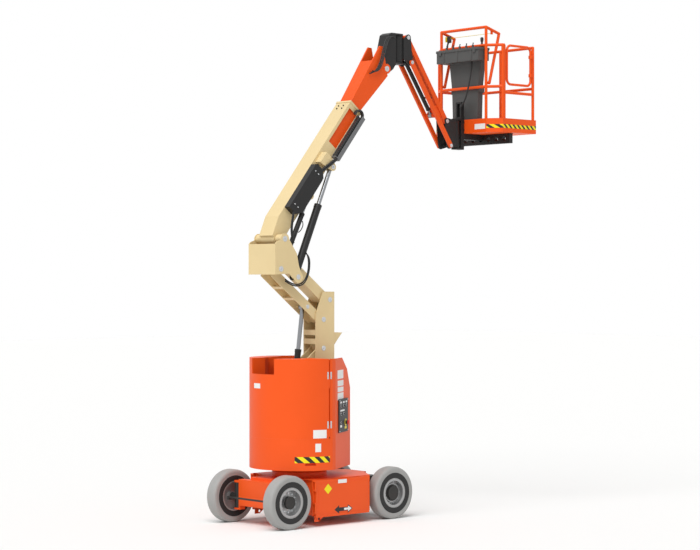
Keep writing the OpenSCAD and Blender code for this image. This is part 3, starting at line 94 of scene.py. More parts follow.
sky_light, sky_shown = 0.38, 1.0
floor_half = 60
world = bpy.data.worlds.new("studio")
bpy.context.scene.world = world
world.use_nodes = True
tree = world.node_tree
tree.nodes.clear()
rays = add(tree, "LightPath")
sky = add(tree, "Background", in_Color=colour("FFFFFF"), in_Strength=sky_light)
shown = add(tree, "Background", in_Color=colour("FFFFFF"), in_Strength=sky_shown)
seen = add(tree, "Math", [(0, rays.outputs["Is Camera Ray"]), (1, rays.outputs["Is Glossy Ray"])],
           operation="MAXIMUM")
seen = add(tree, "Math", [(0, seen.outputs[0]), (1, rays.outputs["Is Transmission Ray"])],
           operation="MAXIMUM")
mixed = add(tree, "MixShader", [(0, seen.outputs[0]), (1, sky.outputs[0]), (2, shown.outputs[0])])
add(tree, "OutputWorld", [("Surface", mixed.outputs[0])])

floor_mesh = bpy.data.meshes.new("floor")
bm = bmesh.new()
bmesh.ops.create_grid(bm, x_segments=1, y_segments=1, size=floor_half)
bm.to_mesh(floor_mesh)
bm.free()
floor = bpy.data.objects.new("floor", floor_mesh)
bpy.context.scene.collection.objects.link(floor)
paper = bpy.data.materials.new("floor_paper")
paper.use_nodes = True
paper.node_tree.nodes["Principled BSDF"].inputs["Base Color"].default_value = colour("F6F6F5")
paper.node_tree.nodes["Principled BSDF"].inputs["Roughness"].default_value = 0.9
floor_mesh.materials.append(paper)

softbox = bpy.data.objects.new("softbox", bpy.data.lights.new("softbox", "SUN"))
softbox.data.energy = 2.6
softbox.data.angle = math.radians(50)
softbox.rotation_euler = (math.radians(34), 0, math.radians(-62))
bpy.context.scene.collection.objects.link(softbox)


# Paints of the CAD pieces: two-pack enamel sprayed on welded steel. The film clouds a little in tint,
# has a fine peel, is made paler along its edges as a painted highlight, and carries a thin veil of dust low on the
# machine.
def paint(name, code, rough, coat, dust, shine=0.25, peel=0.35, metal=0.0, edge=0.16):
    """Enamel or painted steel; lengths of the patterns in metres; edge is the strength of the painted edge
    highlight.
    """
    cloud_size, speck_size, peel_size, peel_height = 0.6, 0.008, 0.0025, 0.00006
    edge_radius, dust_top = 0.003, 1.2
    made = bpy.data.materials.new(name)
    made.use_nodes = True
    tree = made.node_tree
    shader = tree.nodes["Principled BSDF"]
    place = add(tree, "TexCoord").outputs["Object"]
    base = colour(code)
    cloud = add(tree, "TexNoise", [("Vector", place)], in_Scale=1 / cloud_size, in_Detail=3.0)
    tint = add(tree, "Mix", [("Factor", cloud.outputs["Fac"])], data_type="RGBA",
               in_6=scaled(base, 0.90), in_7=scaled(base, 1.05, 0.004))
    # Where the rounded edge turns away from the face, the paint is lightened as a painted highlight
    soft = add(tree, "Bevel", samples=4, in_Radius=edge_radius)
    face = add(tree, "NewGeometry")
    turn = add(tree, "VectorMath", [(0, soft.outputs["Normal"]), (1, face.outputs["Normal"])],
               operation="DOT_PRODUCT")
    edge_highlight_share = add(tree, "MapRange", [("Value", turn.outputs["Value"])],
               in_1=0.999, in_2=0.90, in_3=0.0, in_4=edge)
    # Painted highlight: the edges are mixed towards a paler, whiter copy of the paint
    edge_highlighted = add(tree, "Mix", [("Factor", edge_highlight_share.outputs[0]), (6, tint.outputs[2])], data_type="RGBA",
                 in_7=scaled(base, 1.15, 0.10))
    # Specks of dust, thick at the ground and nearly gone at dust_top
    speck = add(tree, "TexNoise", [("Vector", place)], in_Scale=1 / speck_size, in_Detail=4.0)
    height = add(tree, "SeparateXYZ", [("Vector", place)])
    low = add(tree, "MapRange", [("Value", height.outputs["Z"])],
              in_1=0.0, in_2=dust_top, in_3=dust, in_4=dust * 0.15)
    veil = add(tree, "Math", [(0, speck.outputs["Fac"]), (1, low.outputs[0])], operation="MULTIPLY")
    dusty = add(tree, "Mix", [("Factor", veil.outputs[0]), (6, edge_highlighted.outputs[2])], data_type="RGBA",
                in_7=colour("B9B2A6"))
    tree.links.new(dusty.outputs[2], shader.inputs["Base Color"])
    grain = add(tree, "MapRange", [("Value", speck.outputs["Fac"])], in_3=rough - 0.06, in_4=rough + 0.10)
    tree.links.new(grain.outputs[0], shader.inputs["Roughness"])
    skin = add(tree, "TexNoise", [("Vector", place)], in_Scale=1 / peel_size, in_Detail=1.0)
    bump = add(tree, "Bump", [("Height", skin.outputs["Fac"]), ("Normal", soft.outputs["Normal"])],
               in_Strength=peel, in_Distance=peel_height)
    tree.links.new(bump.outputs[0], shader.inputs["Normal"])
    shader.inputs["Specular IOR Level"].default_value = shine
    shader.inputs["Coat Weight"].default_value = coat
    shader.inputs["Coat Roughness"].default_value = 0.18
    shader.inputs["Metallic"].default_value = metal
    return made


def dress(slot, material):
    """Give every CAD node of a material slot its finish."""
    for entry in frame["record"]["subparts"]:
        if entry["material_slot"] == slot:
            nodes[entry["node"]].data.materials.clear()
            nodes[entry["node"]].data.materials.append(material)


enamel_orange = paint("orange_enamel", "F2560A", 0.46, 0.04, 0.05)
enamel_cream = paint("cream_enamel", "E6CF9D", 0.46, 0.04, 0.05)
enamel_black = paint("black_enamel", "1B1B1C", 0.46, 0.08, 0.10)
enamel_grey = paint("grey_enamel", "6F7072", 0.45, 0.15, 0.12)
steel_rim = paint("rim_steel", "A9AAAB", 0.38, 0.10, 0.18, metal=0.55)
dress("orange_paint", enamel_orange)
dress("cream_paint", enamel_cream)
dress("black_paint", enamel_black)
dress("grey_paint", enamel_grey)
dress("rim_steel", steel_rim)


# Plastics, rubber and chrome: moulded covers with a spark-eroded grain of about 1 mm that dulls them,
# pressed-on grey tyres with a chalky skin, and ground rods plated with hard chrome, which mirror softly.
def grained(name, code, rough, scale, strength, metal=0.0, spread=0.10):
    """A moulded, rubber or ground surface whose grain is scale metres across."""
    cloud_size, edge_radius = 0.15, 0.004
    made = bpy.data.materials.new(name)
    made.use_nodes = True
    tree = made.node_tree
    shader = tree.nodes["Principled BSDF"]
    place = add(tree, "TexCoord").outputs["Object"]
    base = colour(code)
    cloud = add(tree, "TexNoise", [("Vector", place)], in_Scale=1 / cloud_size, in_Detail=5.0)
    tint = add(tree, "Mix", [("Factor", cloud.outputs["Fac"])], data_type="RGBA",
               in_6=scaled(base, 1 - spread), in_7=scaled(base, 1 + spread))
    tree.links.new(tint.outputs[2], shader.inputs["Base Color"])
    grain = add(tree, "TexNoise", [("Vector", place)], in_Scale=1 / scale, in_Detail=2.0)
    level = add(tree, "MapRange", [("Value", grain.outputs["Fac"])], in_3=rough - 0.08, in_4=rough + 0.08)
    tree.links.new(level.outputs[0], shader.inputs["Roughness"])
    soft = add(tree, "Bevel", samples=4, in_Radius=edge_radius)
    bump = add(tree, "Bump", [("Height", grain.outputs["Fac"]), ("Normal", soft.outputs["Normal"])],
               in_Strength=strength, in_Distance=scale * 0.1)
    tree.links.new(bump.outputs[0], shader.inputs["Normal"])
    shader.inputs["Metallic"].default_value = metal
    return made


plastic_black = grained("black_moulded_plastic", "232324", 0.55, 0.0012, 0.5)
plastic_grey = grained("grey_moulded_plastic", "4A4B4A", 0.58, 0.0012, 0.5)
rubber_grey = grained("grey_tyre_rubber", "A0A09E", 0.72, 0.002, 0.35, spread=0.06)
hard_chrome = grained("hard_chrome", "8F9194", 0.30, 0.0006, 0.02, metal=1.0, spread=0.02)
dress("black_plastic", plastic_black)
dress("grey_plastic", plastic_grey)
dress("tyre", rubber_grey)
dress("chrome", hard_chrome)


# Wheels: cured-on solid tyres, with the black base band of harder rubber that shows on both sides,
# and plated flange nuts that hold each pressed rim to its hub.
def settle(bm, name, material, body):
    """Close a bmesh into an object that rides on a body, smooth but for its sharp edges.
    Without a body, the piece is left unattached."""
    sharp = math.radians(38)
    bmesh.ops.recalc_face_normals(bm, faces=bm.faces)
    for face in bm.faces:
        face.smooth = True
    for edge in bm.edges:
        edge.smooth = edge.calc_face_angle(0) < sharp
    mesh = bpy.data.meshes.new(name)
    bm.to_mesh(mesh)
    bm.free()
    mesh.materials.append(material)
    piece = bpy.data.objects.new(name, mesh)
    bpy.context.scene.collection.objects.link(piece)
    if body:
        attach(piece, body)
    return piece


def lathe(bm, outline, centre, steps):
    """Turn a closed outline of (radius, y) points about an axis along Y."""
    ring = [bm.verts.new((centre.x + radius, y, centre.z)) for radius, y in outline]
    edges = [bm.edges.new((ring[i - 1], ring[i])) for i in range(len(ring))]
    bmesh.ops.spin(bm, geom=ring + edges, cent=(centre.x, 0, centre.z), axis=(0, 1, 0),
                   angle=2 * math.pi, steps=steps, use_merge=True)


def facing(out):
    """The turn that brings the Z axis round to a direction."""
    return Vector((0, 0, 1)).rotation_difference(Vector(out)).to_matrix().to_4x4()


def bolt(bm, place, out, across):
    """A hexagon head on its washer; across is the width over flats, which the shares follow."""
    for segments, foot_share, tip_share, start_share, height_share in (
            (20, 0.72, 0.70, 0, 0.12), (6, 0.577, 0.52, 0.12, 0.5)):
        middle = Matrix.Translation((0, 0, across * (start_share + height_share / 2)))
        bmesh.ops.create_cone(bm, cap_ends=True, segments=segments, radius1=across * foot_share,
                              radius2=across * tip_share, depth=across * height_share,
                              matrix=Matrix.Translation(place) @ facing(out) @ middle)


rubber_black = grained("black_base_rubber", "1D1D1D", 0.70, 0.002, 0.35)
zinc_plate = grained("zinc_plated_steel", "C6C8CA", 0.34, 0.0008, 0.08, metal=0.9, spread=0.06)
pivots = {joint["name"]: Vector(joint["pos_m"]) for joint in frame["joints"] if "pos_m" in joint}
tyre_inside, tyre_outside = (corner.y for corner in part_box("tyre_steer_left"))
# The sidewalls lean out from the rim to the shoulder; the band's section is (radius, height over their foot)
sidewall_lean = 0.006
band_section = [(0.180, -0.002), (0.182, 0.0024), (0.186, 0.0032), (0.241, 0.0060), (0.246, 0.0054),
                (0.248, 0.002)]
nut_face, nut_across = 0.538, 0.021
for end, nut_circle, nut_count in (("steer", 0.112, 12), ("drive", 0.133, 10)):
    for hand, side in (("right", -1), ("left", 1)):
        body = f"wheel_{end}_{hand}"
        hub = pivots[f"roll_{end}_{hand}"]
        bm = bmesh.new()
        for foot, proud in ((tyre_outside - sidewall_lean, 1), (tyre_inside + sidewall_lean, -1)):
            lathe(bm, [(radius, side * (foot + proud * rise)) for radius, rise in band_section], hub, 72)
        settle(bm, f"tyre_band_{end}_{hand}", rubber_black, body)
        bm = bmesh.new()
        for k in range(nut_count):
            angle = 2 * math.pi * k / nut_count
            across, rise = nut_circle * math.cos(angle), nut_circle * math.sin(angle)
            bolt(bm, (hub.x + across, side * nut_face, hub.z + rise), (0, side, 0), nut_across)
        settle(bm, f"wheel_nuts_{end}_{hand}", zinc_plate, body)


# Turret covers: the side panels carry a folded stop flange behind each hood's hinge edge, bent from the same
# sheet, which closes the slit. Bought-in vinyl goes on last: blank white labels and a hazard band.
def raised(bm, faces, vec):
    """Extrude faces by a vector into a closed solid."""
    top = bmesh.ops.extrude_face_region(bm, geom=faces, use_keep_orig=True)["geom"]
    bmesh.ops.translate(bm, vec=vec, verts=[v for v in top if isinstance(v, bmesh.types.BMVert)])


def plate(bm, centre, along, up, size, corner, thick):
    """A flat plate with rounded corners, lying on the face that along and up span."""
    old = set(bm.verts)
    flat = bmesh.ops.create_grid(bm, x_segments=1, y_segments=1, size=0.5)["verts"]
    bmesh.ops.scale(bm, vec=(size[0], size[1], 1), verts=flat)
    bmesh.ops.bevel(bm, geom=flat, offset=corner, affect="VERTICES", segments=4, profile=0.5, material=-1)
    raised(bm, [f for f in bm.faces if not old.intersection(f.verts)], (0, 0, thick))
    along, up = Vector(along).normalized(), Vector(up).normalized()
    turn = Matrix((along, up, along.cross(up))).transposed().to_4x4()
    bmesh.ops.transform(bm, matrix=Matrix.Translation(centre) @ turn,
                        verts=[v for v in bm.verts if v not in old])


def wrapped(bm, start, end, low, high, radius, thick):
    """A strip that follows the turret's drum between two angles in degrees."""
    old = set(bm.faces)
    first = math.radians(start)
    x, y = slew.x + radius * math.cos(first), radius * math.sin(first)
    foot = [bm.verts.new((x, y, z)) for z in (low, high)]
    edge = bm.edges.new(foot)
    bmesh.ops.spin(bm, geom=foot + [edge], cent=(slew.x, 0, 0), axis=(0, 0, 1),
                   angle=math.radians(end - start), steps=max(4, int(abs(end - start))))
    sheet = [f for f in bm.faces if f not in old]
    bmesh.ops.recalc_face_normals(bm, faces=sheet)
    bmesh.ops.solidify(bm, geom=sheet, thickness=thick)


def drum_vinyl(name, side, angles, heights, material, body):
    """A vinyl sheet stuck on one side of the drum, between two angles from the front and two heights."""
    bm = bmesh.new()
    wrapped(bm, side * angles[0], side * angles[1], *heights, drum + vinyl_seat, vinyl)
    settle(bm, name, material, body)


def striped(name, period, first, second):
    """Slanted bands of two vinyl colours, one pair every period metres along the machine."""
    made = bpy.data.materials.new(name)
    made.use_nodes = True
    tree = made.node_tree
    place = add(tree, "TexCoord").outputs["Object"]
    slant = add(tree, "VectorMath", [(0, place)], operation="DOT_PRODUCT", in_1=(1, 0, 1))
    turns = add(tree, "Math", [(0, slant.outputs["Value"])], operation="DIVIDE", in_1=period)
    part = add(tree, "Math", [(0, turns.outputs[0])], operation="FRACT")
    half = add(tree, "Math", [(0, part.outputs[0])], operation="GREATER_THAN", in_1=0.5)
    band = add(tree, "Mix", [("Factor", half.outputs[0])], data_type="RGBA",
               in_6=colour(first), in_7=colour(second))
    shader = tree.nodes["Principled BSDF"]
    tree.links.new(band.outputs[2], shader.inputs["Base Color"])
    shader.inputs["Roughness"].default_value = 0.45
    return made


hazard_black, hazard_yellow = "161616", "F4E400"
vinyl_white = grained("white_vinyl", "ECECEA", 0.45, 0.001, 0.05, spread=0.03)
vinyl_yellow = grained("yellow_vinyl", hazard_yellow, 0.45, 0.001, 0.05, spread=0.03)
vinyl_black = grained("black_vinyl", hazard_black, 0.45, 0.001, 0.05, spread=0.03)
vinyl, vinyl_seat = 0.0008, 0.0006
slew, drum = pivots["slew"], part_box("turntable")[1].y
upright = Vector((0, 0, 1))

# The flange in plan, for the left side: a short leg on the panel and a long one behind the hood
flange_sheet, flange_leg = 0.004, 0.018
flange_front, flange_back, flange_inside, flange_outside = -1.300, -1.372, 0.581, 0.5935
flange_foot, flange_height = 1.050, 0.925
flange_line = [(flange_front, flange_outside), (flange_front, flange_inside), (flange_back, flange_inside),
               (flange_back, flange_inside + flange_sheet),
               (flange_front - flange_leg, flange_inside + flange_sheet),
               (flange_front - flange_leg, flange_outside)]

# Two hinges to a side, each with a leaf on the hood and one on the panel; angles in degrees
leaf_half_angle, leaf_height, leaf_sheet, leaf_seat = 1.0, 0.085, 0.002, 0.0012
leaf_feet, leaf_screws, leaf_screw_across = (1.160, 1.745), (0.022, 0.063), 0.008
hood_leaf_angle, panel_leaf_angle = 96.6, 92.2

# The left slanted panel runs from the knee by facet, in plan; its labels are (start, foot, size) along it
knee_ahead, knee_half, facet = 0.060, 0.590, Vector((0.540, -0.340, 0))
knee = Vector((slew.x + knee_ahead, knee_half, 0))
label_corner = 0.006
panel_labels = ((0.085, 1.735, (0.25, 0.105)), (0.090, 1.648, (0.25, 0.068)),
                (0.090, 1.578, (0.25, 0.058)), (0.090, 1.478, (0.25, 0.090)))

# Vinyl on the drum: angles in degrees from the front, then foot and top
hood_label_angles, hood_label_heights = (115, 98.5), (1.046, 1.146)
drum_label_angles, drum_label_heights = (112.5, 105.5), (0.885, 0.985)
drum_hazard_angles, drum_hazard_heights, drum_hazard_period = (136, 94), (0.758, 0.830), 0.118
rear_label_angles, rear_label_heights = (179, 166), (1.628, 1.688)

for hand, side in (("right", -1), ("left", 1)):
    bm = bmesh.new()
    raised(bm, [bm.faces.new([bm.verts.new((x, side * y, flange_foot)) for x, y in flange_line])],
           (0, 0, flange_height))
    settle(bm, f"stop_flange_{hand}", enamel_orange, "turret")

    for body, middle in ((f"hood_{hand}", hood_leaf_angle), ("turret", panel_leaf_angle)):
        out = Vector((math.cos(math.radians(middle)), side * math.sin(math.radians(middle)), 0))
        bm = bmesh.new()
        for foot in leaf_feet:
            wrapped(bm, side * (middle + leaf_half_angle), side * (middle - leaf_half_angle), foot,
                    foot + leaf_height, drum + leaf_seat, leaf_sheet)
            for rise in leaf_screws:
                spot = out * (drum + leaf_seat) + Vector((slew.x, 0, foot + rise))
                bolt(bm, spot, out, leaf_screw_across)
        settle(bm, f"hinge_leaves_{body}_{hand}", zinc_plate, body)

    mirror = Vector((1, side, 1))
    edge, along = knee * mirror, (facet * mirror).normalized()
    bm = bmesh.new()
    for start, foot, size in panel_labels:
        spot = edge + along * (start + size[0] / 2) + upright * (foot + size[1] / 2)
        plate(bm, spot, -side * along, upright, size, label_corner, vinyl)
    settle(bm, f"panel_labels_{hand}", vinyl_white, "turret")

    drum_vinyl(f"hood_label_{hand}", side, hood_label_angles, hood_label_heights, vinyl_white,
               f"hood_{hand}")
    drum_vinyl(f"drum_label_{hand}", side, drum_label_angles, drum_label_heights, vinyl_white,
               "turret")
    hazard_vinyl = striped(f"drum_hazard_vinyl_{hand}", drum_hazard_period, hazard_black, hazard_yellow)
    drum_vinyl(f"drum_hazard_{hand}", side, drum_hazard_angles, drum_hazard_heights, hazard_vinyl,
               "turret")
drum_vinyl("rear_label", 1, rear_label_angles, rear_label_heights, vinyl_white, "hood_left")


# Battery doors: steel doors with blank vinyl marks. A yellow diamond, a white plate and the two-way
# travel arrow, black towards the steered wheels and white towards the driven ones.
door_face, arrow_seat = 0.600, 0.0002
diamond_spot, diamond_side, diamond_corner = (-1.360, 0.442), 0.088, 0.006
door_label_spot, door_label_size, door_label_corner = (-1.132, 0.520), (0.140, 0.045), 0.004
arrow_x, arrow_z, arrow_border = -1.115, 0.186, 0.009
arrow_shaft, arrow_neck, arrow_barb, arrow_tip = 0.022, 0.070, 0.050, 0.145
neck_share, barb_share, tip_share, fill_share = 0.5, 1.8, 1.7, 1.6
for hand, side in (("right", -1), ("left", 1)):
    body = f"battery_door_{hand}"
    bm = bmesh.new()
    plate(bm, (diamond_spot[0], side * door_face, diamond_spot[1]), (1, 0, -side), (side, 0, 1),
          (diamond_side, diamond_side), diamond_corner, vinyl)
    settle(bm, f"diamond_{hand}", vinyl_yellow, body)
    bm = bmesh.new()
    plate(bm, (door_label_spot[0], side * door_face, door_label_spot[1]), (-side, 0, 0), upright,
          door_label_size, door_label_corner, vinyl)
    settle(bm, f"door_label_{hand}", vinyl_white, body)
    # Each half is a black arrow and its fill, inset by shares of the border, but not at the black way's tail
    for name, material, way in (("black", vinyl_black, -1), ("white", vinyl_white, 1)):
        for layer, inset, skin, rise in (("edge", 0.0, vinyl_black, vinyl),
                                         ("fill", arrow_border, material, vinyl * fill_share)):
            tail, shaft = inset if way > 0 else 0.0, arrow_shaft - inset
            neck, barb = arrow_neck + inset * neck_share, arrow_barb - inset * barb_share
            tip = arrow_tip - inset * tip_share
            outline = [(tail, shaft), (neck, shaft), (neck, barb), (tip, 0), (neck, -barb), (neck, -shaft),
                       (tail, -shaft)]
            bm = bmesh.new()
            y = side * (door_face + arrow_seat)
            flat = bm.faces.new([bm.verts.new((arrow_x + way * x, y, arrow_z + z)) for x, z in outline])
            raised(bm, [flat], (0, side * rise, 0))
            settle(bm, f"arrow_{name}_{layer}_{hand}", skin, body)


# Platform toe board: a hazard band of vinyl along both sides and the clipped rear corners,
# and a blank white plate on the rear face.
band_low, band_height, band_corner = 4.874, 0.049, 0.0005
band_runs = (((1.626, 0.610), (2.250, 0.610)), ((1.497, 0.4415), (1.6255, 0.6095)))
band_period = 0.082
toe_label_spot, toe_label_size, toe_label_corner = (1.496, -0.325, 4.900), (0.190, 0.070), 0.004
hazard_vinyl = striped("platform_hazard_vinyl", band_period, hazard_black, hazard_yellow)
for hand, side in (("right", -1), ("left", 1)):
    bm = bmesh.new()
    for start, end in band_runs:
        first, last = Vector((start[0], side * start[1], 0)), Vector((end[0], side * end[1], 0))
        run = -side * (last - first)
        plate(bm, (first + last) / 2 + upright * (band_low + band_height / 2), run, upright,
              (run.length, band_height), band_corner, vinyl)
    settle(bm, f"platform_hazard_{hand}", hazard_vinyl, "platform")
bm = bmesh.new()
plate(bm, toe_label_spot, (0, -1, 0), upright, toe_label_size, toe_label_corner, vinyl)
settle(bm, "platform_label", vinyl_white, "platform")


# Ground controls: a black switch plate on the right slanted panel, with a mushroom stop button,
# a yellow bezel under it, collars round its keys, four plated corner screws and blank marks.
def on_panel(across, rise, out=0.0):
    """A point on the ground control plate, from its middle in metres."""
    return panel_middle + panel_along * across + upright * rise + panel_out * (panel_deep + out)


def knob(bm, place, out, outline, steps=24):
    """A turned knob: outline of (radius, height) points, closed or from axis to axis, about a direction."""
    merge_gap = 0.00001
    old = set(bm.verts)
    ring = [bm.verts.new((radius, 0, height)) for radius, height in outline]
    edges = [bm.edges.new((ring[i], ring[i + 1])) for i in range(len(ring) - 1)]
    bmesh.ops.spin(bm, geom=ring + edges, cent=(0, 0, 0), axis=(0, 0, 1), angle=2 * math.pi, steps=steps,
                   use_merge=True)
    bmesh.ops.remove_doubles(bm, verts=[v for v in bm.verts if v not in old], dist=merge_gap)
    bmesh.ops.transform(bm, matrix=Matrix.Translation(place) @ facing(out),
                        verts=[v for v in bm.verts if v not in old])


def ring_outline(bore, outside, tip, height):
    """Closed outline of a ring that narrows from its foot to its tip."""
    return [(bore, 0), (outside, 0), (tip, height), (bore, height), (bore, 0)]


vivid_red = grained("red_moulded_plastic", "D3180F", 0.40, 0.0012, 0.2)
vivid_yellow = grained("yellow_moulded_plastic", "F2DC00", 0.45, 0.0012, 0.2)
panel_share, panel_height, panel_deep, panel_seat = 0.47, 1.290, 0.016, 0.0002
panel_along = (facet * Vector((1, -1, 1))).normalized()
panel_out = panel_along.cross(upright)
panel_middle = (knee + facet * panel_share) * Vector((1, -1, 1)) + upright * panel_height
stop_across, stop_rise, stop_neck = 0.0836, -0.088, 0.0282
stop_outline = [(0, 0), (0.027, 0), (0.030, 0.004), (0.027, 0.012), (0.016, 0.017), (0, 0.018)]
tab_rise, tab_size, tab_corner, tab_thick = -0.150, (0.080, 0.030), 0.004, 0.001
bezel_outline = ring_outline(0.0222, 0.044, 0.044, 0.0015)
collar_outline = ring_outline(0.0112, 0.017, 0.016, 0.004)
key_pitch, key_rows = 0.114, (0.120, 0.020, -0.080)
corner_across, corner_rise, corner_screw = 0.175, 0.185, 0.010
key_mark, mark_corner = (0.070, 0.022), 0.003
panel_marks = ((-key_pitch, 0.160, key_mark), (0, 0.160, key_mark), (key_pitch, 0.160, key_mark),
               (-key_pitch / 2, 0.062, (0.180, 0.020)), (-key_pitch, -0.125, (0.075, 0.030)))

bm = bmesh.new()
knob(bm, on_panel(stop_across, stop_rise, stop_neck), panel_out, stop_outline)
settle(bm, "ground_stop", vivid_red, "turret")
bm = bmesh.new()
knob(bm, on_panel(stop_across, stop_rise, panel_seat), panel_out, bezel_outline, 36)
plate(bm, on_panel(stop_across, tab_rise, panel_seat), panel_along, upright, tab_size, tab_corner, tab_thick)
settle(bm, "stop_bezel", vivid_yellow, "turret")
bm = bmesh.new()
for rise, columns in zip(key_rows, ((-1, 0, 1), (-1, 0), (-1,))):
    for column in columns:
        knob(bm, on_panel(column * key_pitch, rise, panel_seat), panel_out, collar_outline)
for across in (-corner_across, corner_across):
    for rise in (-corner_rise, corner_rise):
        bolt(bm, on_panel(across, rise), panel_out, corner_screw)
settle(bm, "key_collars", zinc_plate, "turret")
bm = bmesh.new()
for across, rise, size in panel_marks:
    plate(bm, on_panel(across, rise, panel_seat), panel_along, upright, size, mark_corner, vinyl)
settle(bm, "panel_marks", vinyl_white, "turret")


# Pin ends: each main pivot pin is held at either end by a plated keeper disc and one screw,
# and the lift cylinder's lug has a thicker disc on its free side.
def keeper(bm, place, side, radius, thick, screw):
    """A keeper disc with a chamfered rim, on a face that looks to one side, and its screw."""
    chamfer = thick / 3
    out = Vector((0, side, 0))
    knob(bm, place, out,
         [(0, 0), (radius, 0), (radius, thick - chamfer), (radius - chamfer, thick), (0, thick)], 28)
    bolt(bm, place + out * thick, out, screw)


def on_boom(along, up, y):
    """A point from the boom's pivot, along and square to the boom, in metres."""
    return pivots["boom_lift"] + boom_along * along + boom_up * up + Vector((0, y, 0))


# The boom's angle at rest, and the directions along it and square to it
boom_turn = math.radians(51.2)
boom_along = Vector((math.cos(boom_turn), 0, math.sin(boom_turn)))
boom_up = Vector((-math.sin(boom_turn), 0, math.cos(boom_turn)))
disc_thick, screw_share = 0.003, 0.36
lug_along, lug_up, lug_face = 1.178, -0.060, -0.224
lug_disc, lug_disc_thick, lug_screw = 0.028, 0.006, 0.017
head_cheek, mast_cheek, arm_cheek = 0.250, 0.115, 0.098
nose_cheek, link_cheek, jib_cheek = 0.120, 0.1205, 0.084
riser_eye = Vector((-1.2460, 0, 2.5972))
# A tie's or link's far pin lies from the arm's far pin as its near pin does from the arm's near one
mast_tie = pivots["riser_lower_tie_turn"] + pivots["riser_mast_turn"] - pivots["tower_lift"]
bracket_link = pivots["jib_links_turn"] + pivots["platform_bracket_turn"] - pivots["jib_lift"]
# Each body's pins, with the cheek's outer face and the disc's radius
for body, cheeks in (
        ("riser_head", ((pivots["boom_lift"], head_cheek, 0.034),
                        (pivots["lift_barrel_turn"], head_cheek, 0.032),
                        (pivots["riser_head_turn"], head_cheek, 0.034))),
        ("riser_mast", ((mast_tie, mast_cheek, 0.032), (pivots["riser_upper_arm_turn"], mast_cheek, 0.032),
                        (pivots["riser_upper_tie_turn"], mast_cheek, 0.032))),
        ("riser_upper_arm", ((riser_eye, arm_cheek, 0.026),)),
        ("boom_fly", ((pivots["boom_knuckle_turn"], nose_cheek, 0.036),)),
        ("jib_base", ((pivots["jib_links_turn"], link_cheek, 0.024),
                      (pivots["jib_lift"], jib_cheek, 0.026))),
        ("platform_bracket", ((bracket_link, link_cheek, 0.024),
                              (pivots["platform_bracket_turn"], jib_cheek, 0.026)))):
    bm = bmesh.new()
    for pin, cheek, radius in cheeks:
        for side in (-1, 1):
            keeper(bm, Vector((pin.x, side * cheek, pin.z)), side, radius, disc_thick, radius * screw_share)
    settle(bm, f"pin_keepers_{body}", zinc_plate, body)
bm = bmesh.new()
keeper(bm, on_boom(lug_along, lug_up, lug_face), -1, lug_disc, lug_disc_thick, lug_screw)
settle(bm, "lift_lug_keeper", zinc_plate, "boom")


# Hose guard's outer cover: one black steel sheet with clipped corners, folded back to the boom along its
# upper edge and its lower end and held by four plated screws. Black bolts hold the wear pads in the collar.
cover_out, cover_back, cover_sheet = -0.2150, -0.1265, 0.003
cover_line = [(0.440, -0.040), (0.975, -0.036), (1.050, 0.035), (1.050, 0.145), (1.030, 0.165),
              (0.360, 0.165), (0.360, 0.030)]
first_fold = 4
screw_across = 0.013
guard_screws_along, guard_screws_up = (0.440, 0.960), (0.060, 0.120)
pad_bolts_along, pad_bolts_y, collar_top = (1.945, 1.990), (-0.045, 0.045), 0.172
bm = bmesh.new()
rim = [bm.verts.new(on_boom(along, up, cover_out)) for along, up in cover_line]
bm.faces.new(rim)
folds = [bm.edges.get((rim[i - 1], rim[i])) for i in range(first_fold, len(rim))]
lips = bmesh.ops.extrude_edge_only(bm, edges=folds)["geom"]
bmesh.ops.translate(bm, vec=(0, cover_back - cover_out, 0),
                    verts=[v for v in lips if isinstance(v, bmesh.types.BMVert)])
bmesh.ops.recalc_face_normals(bm, faces=bm.faces)
bmesh.ops.solidify(bm, geom=list(bm.faces), thickness=cover_sheet)
settle(bm, "guard_cover", enamel_black, "boom")
bm = bmesh.new()
for along in guard_screws_along:
    for up in guard_screws_up:
        bolt(bm, on_boom(along, up, cover_out - cover_sheet), (0, -1, 0), screw_across)
settle(bm, "guard_screws", zinc_plate, "boom")
bm = bmesh.new()
for along in pad_bolts_along:
    for y in pad_bolts_y:
        bolt(bm, on_boom(along, collar_top, y), boom_up, screw_across)
settle(bm, "wear_pad_bolts", enamel_black, "boom")


# Energy chain's bend: moulded plastic links, pinned end to end, that turn over the end of the tray
# and carry the hoses and cables into the fly section.
def rounded_box(bm, low, high, radius, segments=3):
    """A box between two corners with rounded edges; returns its vertices."""
    old = set(bm.verts)
    bmesh.ops.create_cube(bm, size=1)
    fresh = [v for v in bm.verts if v not in old]
    low, high = Vector(low), Vector(high)
    bmesh.ops.scale(bm, vec=high - low, verts=fresh)
    bmesh.ops.translate(bm, vec=(low + high) / 2, verts=fresh)
    edges = {e for v in fresh for e in v.link_edges}
    bmesh.ops.bevel(bm, geom=list(edges), offset=radius, affect="EDGES", segments=segments, profile=0.5,
                    material=-1)
    return [v for v in bm.verts if v not in old]


link_size, link_edge, link_count = Vector((0.036, 0.040, 0.024)), 0.004, 8
bend_along, bend_up, bend_y, bend_radius = 1.985, -0.020, -0.1625, 0.062
bend_start, bend_step = math.radians(-105), math.radians(30)
bm = bmesh.new()
for k in range(link_count):
    angle = bend_start + bend_step * k
    fresh = rounded_box(bm, -link_size / 2, link_size / 2, link_edge, segments=2)
    along, up = bend_radius * math.cos(angle), bend_radius * math.sin(angle)
    spot = on_boom(bend_along + along, bend_up + up, bend_y)
    turn = Matrix.Rotation(-(boom_turn + angle + math.pi / 2), 4, "Y")
    bmesh.ops.transform(bm, matrix=Matrix.Translation(spot) @ turn, verts=fresh)
settle(bm, "chain_bend", plastic_black, "boom")
